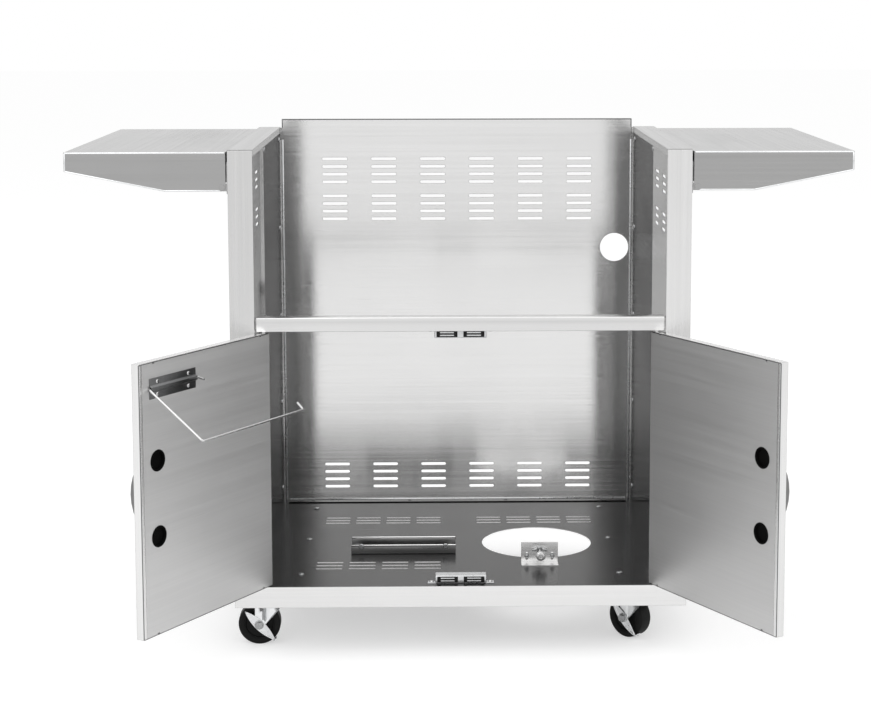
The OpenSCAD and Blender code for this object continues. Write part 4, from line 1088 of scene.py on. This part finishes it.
@dataclass
class Door(Assembly):
    """One door: folded skin, inset liner, bow handle and access hole plugs."""

    hand: Handed = Handed.RIGHT
    free: float = 0.0015
    hinge_end: float = 0.366
    low: float = 0.1285
    high: float = 0.6074
    access_x: float = 0.0465
    feet: float = 0.1334
    hole: float = 0.0175
    bar_radius: float = 0.005
    bow_rise: float = 0.04
    bow_radius: float = 0.0855
    bow_half: float = math.radians(51.3)
    # Radius and depth of the dark rods that paint the shadow in the gap round the liner.
    seam: float = 0.0009
    seam_sunk: float = 0.00066

    def build(self) -> None:
        """Models the small parts, swings them open and dresses the sheets."""
        word = self.hand.word
        self.build_handle()
        self.build_plugs()
        self.build_seams()
        # Each door takes its own side's painted-light copy of the skin and liner steel.
        self.carry(word + "_skin_steel", word + "_door_skin")
        self.carry(word + "_door_steel", word + "_door_liner")
        self.carry("polished_screw", word + "_handle_screws")

    def hang(self, name: str, parts: list[Piece], finish: str, slot: str,
             *replaces: str) -> None:
        """Finishes a piece that was modelled on the closed right-hand door."""
        word = self.hand.word
        self.finish(word + name, parts, word + "_door", finish, slot,
                    *(word + node for node in replaces),
                    matrix=self.place.door(self.hand.value))

    def at_access(self, y: float) -> list[Vector]:
        """The places of the two access holes at a depth."""
        return [Vector((self.access_x, y, self.place.door_middle + end * self.feet / 2))
                for end in SIDES]

    def build_seams(self) -> None:
        """Dark rods round the inner face that paint the shadow in the gap, and a bright rod beside
        the free edge that paints the bend's highlight.
        """
        r, sunk = self.seam, self.seam_sunk
        y, near, far = self.place.door_back - sunk, self.free + sunk, self.hinge_end
        low, high = self.low + sunk, self.high - sunk
        gap_shadows = [Bench.rod(start, end, r) for start, end in (
            ((near, y, low), (near, y, high)), ((near, y, low), (far, y, low)),
            ((near, y, high), (far, y, high)))]
        # A bright zinc rod beside the free edge paints the bend's highlight.
        bright = Bench.rod((near + 2 * r, y, low + 2 * r), (near + 2 * r, y, high - 2 * r), r)
        self.hang("_door_seams", gap_shadows, "dull_bracket", "face_steel")
        self.hang("_door_bend", [bright], "zinc_plate", "face_steel")

    def build_handle(self) -> None:
        """The round bow on two flared feet."""
        face, half = self.place.door_face, self.bow_half
        centre = Vector((self.access_x, face - self.bow_rise + self.bow_radius,
                         self.place.door_middle))
        start = centre - self.bow_radius * Vector((0, math.cos(half), math.sin(half)))
        ways = [Vector((0, -math.sin(a), math.cos(a))) for a in (half, -half)]
        bow = Bench.wire(self.bar_radius, start, ways[0],
                         [("bend", UP, self.bow_radius), ("bend", ways[1], self.bow_radius)],
                         28)
        foot = Bench.lathe([(0.0060, 0.0), (0.0060, 0.0014), (0.0056, 0.0022),
                            (0.0054, 0.0060), (0.0056, 0.0078), (0.0052, 0.0105),
                            (0.0036, 0.0130), (0.0001, 0.0138)], 32)
        feet = Bench.copies(Bench.smooth(foot, 40),
                            [aim(spot, (0, -1, 0)) for spot in self.at_access(face)])
        self.hang("_bow_handle", [Bench.smooth(bow, 50)] + feet, "handle_steel",
                  "handle_steel", "_door_handle")

    def build_plugs(self) -> None:
        """The black cups with rolled rims that close the access holes."""
        rim = self.hole + 0.0015
        cup = Bench.lathe([(0.0168, -0.006), (0.0172, -0.0004), (rim, 0.0), (rim, 0.0006),
                           (rim - 0.0005, 0.0012), (rim - 0.0013, 0.0014),
                           (rim - 0.0024, 0.0011), (rim - 0.0030, 0.0002),
                           (rim - 0.0034, -0.0044), (0.0001, -0.0046)], 64)
        spots = self.at_access(self.place.door_back)
        cups = Bench.copies(Bench.smooth(cup, 50), [aim(spot, (0, 1, 0)) for spot in spots])
        self.hang("_access_plugs", cups, "plug_black", "black_plastic", "_hole_plugs")


@dataclass
class TowelHolder(Assembly):
    """The bent wire that swings in a hat bracket on the left door."""

    radius: float = 0.002
    play: float = 0.0003
    at: tuple[float, float] = (0.0897, 0.5618)
    length: float = 0.124
    height: float = 0.036
    foot: float = 0.0052
    sheet: float = 0.0012
    rivet_inset: float = 0.0203
    end_gap: float = 0.0008
    arm: float = 0.136
    bar: float = 0.288
    hook: float = 0.0175
    hook_lean: float = math.radians(48)
    stub: float = 0.015
    stub_lean: float = math.radians(8)
    angle: float = math.radians(33.6)
    bend: float = 0.004

    def build(self) -> None:
        """Models the bracket, its rivets and the wire, and swings them open."""
        door = self.place.door(Handed.LEFT.value)
        self.finish("towel_bracket_plate", [self.bracket()], "left_door", "dull_bracket",
                    "plain_steel", "towel_bracket", matrix=door)
        self.finish("towel_rivet_heads", self.rivets(), "left_door", "polished_screw", "screw",
                    "towel_rivets", matrix=door)
        self.finish("towel_wire_bow", [self.wire()], "towel_holder", "wire_chrome",
                    "wire_chrome", "towel_wire", matrix=door)

    @property
    def inner(self) -> float:
        """Half of the space inside the hat."""
        return self.radius + self.play

    def bracket(self) -> Piece:
        """A strip pulled along the hat section, thickened and rounded."""
        inner, (x, z), y = self.inner, self.at, self.place.door_back
        profile = [(y, -self.height / 2), (y, -self.foot), (y + 2 * inner, -inner),
                   (y + 2 * inner, inner), (y, self.foot), (y, self.height / 2)]
        Bench.clear()
        bpy.ops.mesh.primitive_plane_add(size=1.0)
        strip = Bench.put(Bench.added(), Matrix.Diagonal((self.length, 0.0, 1.0, 1.0)))
        with Bench.editing(strip, "VERT"):
            bpy.ops.mesh.remove_doubles(threshold=0.00001)
            bpy.ops.mesh.delete(type="ONLY_FACE")
            bpy.ops.mesh.select_mode(type="EDGE")
            bpy.ops.mesh.select_all(action="SELECT")
            bpy.ops.transform.translate(value=(x, profile[0][0], z + profile[0][1]))
            for (y1, z1), (y2, z2) in zip(profile, profile[1:]):
                bpy.ops.mesh.extrude_edges_move(
                    TRANSFORM_OT_translate={"value": (0, y2 - y1, z2 - z1)})
        Bench.modify(strip, "SOLIDIFY", thickness=self.sheet, offset=-1.0,
                     use_even_offset=True)
        if min(v.co.y for v in strip.data.vertices) < y - 0.0004:
            Bench.put(strip, move(0, self.sheet, 0))
        return Bench.round_edges(strip, 0.0004, 2, 20.0)

    def rivets(self) -> list[Piece]:
        """Four domed rivets."""
        dome = Bench.lathe([(0.0036, 0.0), (0.0036, 0.0003), (0.0033, 0.0008),
                            (0.0024, 0.0011), (0.0001, 0.0012)], 28)
        (x, z), y = self.at, self.place.door_back + self.sheet
        out = self.length / 2 - self.rivet_inset
        up = (self.height / 2 + self.inner + self.sheet) / 2
        return Bench.copies(Bench.smooth(dome, 50),
                            [aim((x + a * out, y, z + b * up), (0, 1, 0))
                             for a in SIDES for b in SIDES])

    def wire(self) -> Piece:
        """The wire, drawn out round its five bends."""
        down = Vector((0, math.cos(self.angle), -math.sin(self.angle)))
        hook = Vector((0, -math.sin(self.hook_lean), math.cos(self.hook_lean)))
        stub = Vector((0, math.cos(self.stub_lean), -math.sin(self.stub_lean)))
        (x, z), b = self.at, self.bend
        reach = self.length / 2 + self.end_gap + self.radius
        start = Vector((x + reach, self.place.door_back + self.inner, z)) + stub * self.stub
        steps = [("run", self.stub - b), ("bend", Vector((-1, 0, 0)), b),
                 ("run", 2 * reach - 2 * b), ("bend", down, b),
                 ("run", self.arm - 2 * b), ("bend", Vector((1, 0, 0)), b),
                 ("run", self.bar - 2 * b), ("bend", hook, b), ("run", self.hook - b)]
        return Bench.smooth(Bench.wire(self.radius, start, -stub, steps, 14), 60)


@dataclass
class Shelf(Assembly):
    """One folding side shelf."""

    hand: Handed = Handed.RIGHT
    bend: float = 0.0016
    bend_out: tuple[float, float] = (0.0005, 0.0003)
    flat_start: float = 0.01
    flat_end: float = 0.5397
    outer_height: float = 0.0344

    def build(self) -> None:
        """Dresses the shelf and adds bright zinc rods along the bends round its front skirt,
        painted highlights.
        """
        word, r, (front, edge) = self.hand.word, self.bend, self.bend_out
        self.carry("shelf_steel", word + "_shelf_top", word + "_shelf_pins")
        self.carry("channel_steel", word + "_shelf_brackets")
        low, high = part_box(word + "_shelf_top")
        inner, outer = sorted((abs(low.x), abs(high.x)))
        top, under = high.z - r + edge, low.z + r - edge
        outline = [(inner + r, top), (outer - r, top), (outer - r, high.z - self.outer_height),
                   (self.flat_end, under), (inner + self.flat_start, under)]
        spots = [(self.hand.value * x, low.y + r - front, z) for x, z in outline]
        bends = [Bench.rod(start, end, r) for start, end in zip(spots, spots[1:])]
        self.finish(word + "_shelf_bends", bends, word + "_shelf", "zinc_plate", "face_steel")


@dataclass
class CasterMounts(Assembly):
    """The plates and bolts that hold the casters under their channels."""

    def build(self) -> None:
        """Dresses the plates and bolts."""
        self.carry("zinc_plate", "caster_plates")
        self.carry("polished_screw", "caster_bolts")


@dataclass
class Caster(Assembly):
    """One swivel caster with its fork, axle, wheel and, at the front, a brake lever."""

    corner: str = "front_left"
    turn: float = 0.0
    at: tuple[float, float] = (0.350, 0.065)
    radius: float = 0.040
    width: float = 0.032
    trail: float = 0.033
    leg_gap: float = 0.0175
    leg: float = 0.0025
    leg_back: float = 0.008
    leg_front: float = 0.017
    boss: float = 0.010
    crease: float = -0.0204
    crease_half: float = 0.0011
    crease_lift: float = 0.013
    crease_long: float = 0.036
    crown: float = 0.082
    crown_sheet: float = 0.003
    cup: float = 0.023
    cup_top: float = 0.0917
    pin: float = 0.0053
    axle: float = 0.004
    nut: tuple[float, float] = (0.0072, 0.005)
    gap: float = 0.0003
    lever_long: float = 0.0405
    lever_wide: float = 0.0092
    lever_sheet: float = 0.0019
    lever_offset: float = 0.0022
    lever_ends: tuple[float, float] = (-0.037, 0.0412)
    lever_hole: tuple[float, float] = (0.0205, 0.0012)
    lever_rim: float = 0.0021
    lever_dish: float = 0.0009
    lever_boss: float = 0.0088
    pedal: tuple[float, float, float] = (0.0022, 0.0038, 0.013)
    lever_angle: float = math.radians(-45)

    def build(self) -> None:
        """Models the whole caster."""
        self.build_fork()
        self.build_axle()
        self.build_wheel()
        if self.braked:
            self.build_lever()

    @property
    def braked(self) -> bool:
        """Whether this caster has a brake lever."""
        return self.corner.startswith("front")

    @property
    def leg_out(self) -> float:
        """Distance from the wheel's middle to a leg's outer face."""
        return self.leg_gap + self.leg

    def mount(self, name: str, parts: list[Piece], body: str, finish: str, slot: str,
              node: str, matrix: Matrix) -> None:
        """Finishes a piece, which a matrix takes to the caster's own frame."""
        x, y = self.at
        place = move(x, y - self.place.shift, 0) @ spin(self.turn)
        self.finish(f"{self.corner}_{name}", parts, f"{self.corner}_{body}", finish, slot,
                    f"{self.corner}_{node}", matrix=place @ matrix)

    def along_axle(self, y: float) -> Matrix:
        """From a frame whose +Z runs along the axle towards -Y to the caster's own."""
        return move(-self.trail, y, self.radius) @ spin(math.pi / 2, "X")

    def build_fork(self) -> None:
        """Two creased legs with bosses, a flat crown and the ball cup on top."""
        back, front, out = -self.trail - self.leg_back, self.leg_front, self.leg_out
        foot, top, c = self.radius - 0.004, self.crown + 0.001, self.crease_half
        slope = Vector((top - foot, 0, -self.trail + 0.85 * self.boss - front)).normalized()
        parts = []
        for side in SIDES:
            near, far = sorted((side * self.leg_gap, side * out))
            leg = Bench.block((back, near, foot), (front, far, top))
            Bench.slice(leg, (front, 0, top), slope)
            boss = Bench.put(Bench.tube(self.boss, self.leg, 64), self.along_axle(far))
            Bench.combine(leg, "UNION", boss)
            bore = Bench.put(Bench.tube(self.axle + self.gap, 0.08, 32), self.along_axle(0.04))
            groove = Bench.put(Bench.block((-c, -c, 0.0), (c, c, self.crease_long)),
                               move(self.crease, side * (out + self.gap),
                                    foot + self.crease_lift) @ spin(math.pi / 4))
            Bench.combine(leg, "DIFFERENCE", bore, groove)
            parts.append(Bench.round_edges(leg, 0.0004, 2, 30.0))
        plate = Bench.block((back, -out, self.crown),
                            (front, out, self.crown + self.crown_sheet))
        rim, low, high = self.cup + 0.002, self.crown, self.cup_top
        cup = Bench.lathe([(self.pin, low), (rim, low), (rim, low + 0.0022),
                           (rim - 0.0008, low + 0.003), (self.cup, low + 0.0034),
                           (self.cup, high - 0.0024), (self.cup - 0.0009, high - 0.0008),
                           (self.cup - 0.0026, high), (self.pin, high)], 64, True)
        parts += [Bench.round_edges(plate, 0.0008, 3), Bench.smooth(cup)]
        self.mount("pressed_fork", parts, "swivel", "zinc_plate", "zinc", "fork", Matrix())

    def build_axle(self) -> None:
        """A bolt through the fork with a chamfered head and nut."""
        wide, high = self.nut
        start = self.leg_out + (self.lever_sheet + 0.0007 if self.braked else 0.0)
        rod = Bench.lathe([(self.axle, -self.leg_out - 0.001),
                           (self.axle, start + high - 0.0008),
                           (self.axle - 0.0008, start + high - 0.0001)], 32)
        head = Bench.put(Fastener.nut(wide, high),
                         move(0, 0, -self.leg_out) @ spin(math.pi, "X"))
        nut = Bench.put(Fastener.nut(wide, high), move(0, 0, start + 0.0005) @ spin(0.3))
        washer = Bench.round_edges(Bench.tube(1.2 * wide, 0.0008, 40), 0.0002)
        parts = [Bench.smooth(rod), head, nut, Bench.put(washer, move(0, 0, start))]
        self.mount("axle_bolt", parts, "swivel", "wing_nut_zinc", "screw", "axle",
                   self.along_axle(0))

    def build_wheel(self) -> None:
        """A tyre with rounded shoulders, a groove round the rim, a dished web and a hub."""
        r, w, hub = self.radius, self.width / 2, self.leg_gap - self.gap
        half = [(0.0043, hub), (0.0088, hub), (0.0098, hub - 0.0006), (0.0106, w - 0.0020),
                (0.0122, w - 0.0040), (0.0226, w - 0.0042), (0.0248, w - 0.0036),
                (0.0259, w - 0.0012), (0.0269, w - 0.0004), (0.0278, w - 0.0004),
                (0.0282, w - 0.0010), (0.0289, w - 0.0010), (0.0295, w - 0.0003),
                (0.0305, w), (r - 0.0046, w), (r - 0.0027, w - 0.0005),
                (r - 0.0012, w - 0.0016), (r - 0.0003, w - 0.0032), (r, w - 0.0054)]
        profile = [(a, -b) for a, b in half] + half[::-1]
        self.mount("tyre", [Bench.smooth(Bench.lathe(profile, 96, True), 35)], "wheel",
                   "wheel_rubber", "wheel_rubber", "wheel", self.along_axle(0))

    def build_lever(self) -> None:
        """A pointed pressed strap with a rim, a raised boss and a turned-down pedal."""
        long, wide, thick = self.lever_long, self.lever_wide, self.lever_sheet
        arc = (long * long + wide * wide) / (2 * wide)
        strap, other = (Bench.put(Bench.tube(arc, thick, 256),
                                  move(self.lever_offset, side * (arc - wide), 0))
                        for side in SIDES)
        Bench.combine(strap, "INTERSECT", other)
        for way, end in zip(SIDES, self.lever_ends):
            Bench.slice(strap, (end, 0, 0), (way, 0, 0))
        hole = Bench.put(Bench.tube(0.0018, 0.01, 24), move(*self.lever_hole, -0.005))
        with Bench.editing_faces(strap, lambda face: face.normal.z > 0.99):
            bpy.ops.mesh.inset(thickness=self.lever_rim, depth=0.0)
            bpy.ops.mesh.extrude_region_move(
                TRANSFORM_OT_translate={"value": (0, 0, -self.lever_dish)})
        Bench.combine(strap, "DIFFERENCE", hole)
        Bench.round_edges(strap, 0.0003, 2, 30.0)
        bore, rim = self.axle + 0.0004, self.lever_boss
        boss = Bench.lathe([(bore, 0.0004), (rim, 0.0004), (rim, thick - 0.0003),
                            (rim - 0.0008, thick + 0.0002), (bore, thick + 0.0003)], 48, True)
        (sheet, half, drop), tip = self.pedal, self.lever_ends[1] - 0.0004
        pedal = Bench.block((tip, -half, -drop), (tip + sheet, half, thick))
        parts = [strap, Bench.smooth(boss), Bench.round_edges(pedal, 0.0007, 3)]
        self.mount("lever", parts, "brake", "zinc_plate", "zinc", "brake",
                   self.along_axle(-self.leg_out - self.gap) @ spin(self.lever_angle))


@dataclass
class Studio:
    """Pale floor, soft lamps, white surroundings and the photograph's camera."""

    eye: tuple[float, float, float] = (-0.0385, -3.6528, 1.218)
    tilt: float = 0.118
    yaw: float = 0.017
    roll: float = 0.001
    lens: float = 79.59
    shift: tuple[float, float] = (-0.0415, -0.1531)
    floor_grey: float = 0.62
    floor_glow: float = 0.52
    floor_sheen: float = 0.32
    dim: float = 0.75
    lamp_size: float = 4.5

    def build(self) -> None:
        """Makes the whole studio."""
        self.surround()
        self.floor()
        self.lamp("key", (-2.8, -3.6, 4.0), (0.0, 0.0, 0.5), 60.0)
        self.lamp("fill", (3.2, -3.0, 3.2), (0.0, 0.1, 0.5), 35.0)
        self.lamp("top", (0.0, 0.6, 4.6), (0.0, 0.1, 0.0), 50.0)
        self.camera()

    def surround(self) -> None:
        """White world to the camera and in reflections, dimmer as a light."""
        graph = Graph(bpy.data.worlds.new("studio"), "World")
        seen = (graph.rays("Camera") + graph.rays("Glossy")).clamp()
        sky = graph.add("Background", {},
                        {"Color": (1, 1, 1, 1), "Strength": seen * (1 - self.dim) + self.dim})
        bpy.context.scene.world = graph.end(sky)

    def floor(self) -> None:
        """A wide pale floor that shows white but keeps the cart's shadow."""
        Bench.clear()
        bpy.ops.mesh.primitive_plane_add(size=60.0, location=(0, 0, 0))
        ground = bpy.context.object
        ground.name = "studio_floor"
        graph = Graph(bpy.data.materials.new("floor_paper"))
        strength = graph.rays("Camera") * self.floor_glow + graph.rays("Glossy") * self.floor_sheen
        glow = graph.add("Emission", {}, {"Color": (1, 1, 1, 1), "Strength": strength})
        paper = graph.add("BsdfDiffuse", {}, {"Color": colour(self.floor_grey)})
        both = graph.add("AddShader", {}, {0: glow, 1: paper})
        ground.data.materials.append(graph.end(both))

    @staticmethod
    def stand(data: bpy.types.ID, place: tuple, turn: tuple) -> Piece:
        """Puts a lamp or camera in the scene."""
        obj = bpy.data.objects.new(data.name, data)
        bpy.context.scene.collection.objects.link(obj)
        obj.location, obj.rotation_euler = place, turn
        return obj

    def lamp(self, name: str, place: tuple, target: tuple, watts: float) -> None:
        """A square soft lamp aimed at a point."""
        data = bpy.data.lights.new(name, "AREA")
        data.shape, data.size, data.energy = "SQUARE", self.lamp_size, watts
        way = Vector(target) - Vector(place)
        self.stand(data, place, way.to_track_quat("-Z", "Y").to_euler())

    def camera(self) -> None:
        """The camera at the photograph's height, tilt and framing."""
        data = bpy.data.cameras.new("camera")
        data.lens = self.lens
        data.sensor_width = 36.0
        data.shift_x, data.shift_y = self.shift
        turn = (math.pi / 2 - self.tilt, self.roll, -self.yaw)
        bpy.context.scene.camera = self.stand(data, self.eye, turn)


def main() -> None:
    """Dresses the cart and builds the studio."""
    logging.basicConfig(level=logging.INFO, format="%(message)s")
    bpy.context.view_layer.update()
    bpy.context.scene.view_settings.view_transform = "Standard"
    place = Place.read()
    finishes = Finishes(place.opening)
    assemblies: list[Assembly] = [kind(place, finishes) for kind in (
        Body, Screws, CabinetFittings, TowelHolder, CasterMounts)]
    for hand in Handed:
        assemblies += [Door(place, finishes, hand), Shelf(place, finishes, hand)]
    for corner, x, y, turn in (("front_left", -0.350, 0.065, 1.0),
                               ("front_right", 0.350, 0.065, -45.0),
                               ("rear_left", -0.350, 0.577, 14.0),
                               ("rear_right", 0.350, 0.577, 158.0)):
        assemblies.append(Caster(place, finishes, corner, math.radians(turn), (x, y)))
    for assembly in assemblies:
        LOG.info("Building %s", type(assembly).__name__)
        assembly.build()
    Studio().build()
    Bench.clear()


if __name__ == "__main__":
    main()
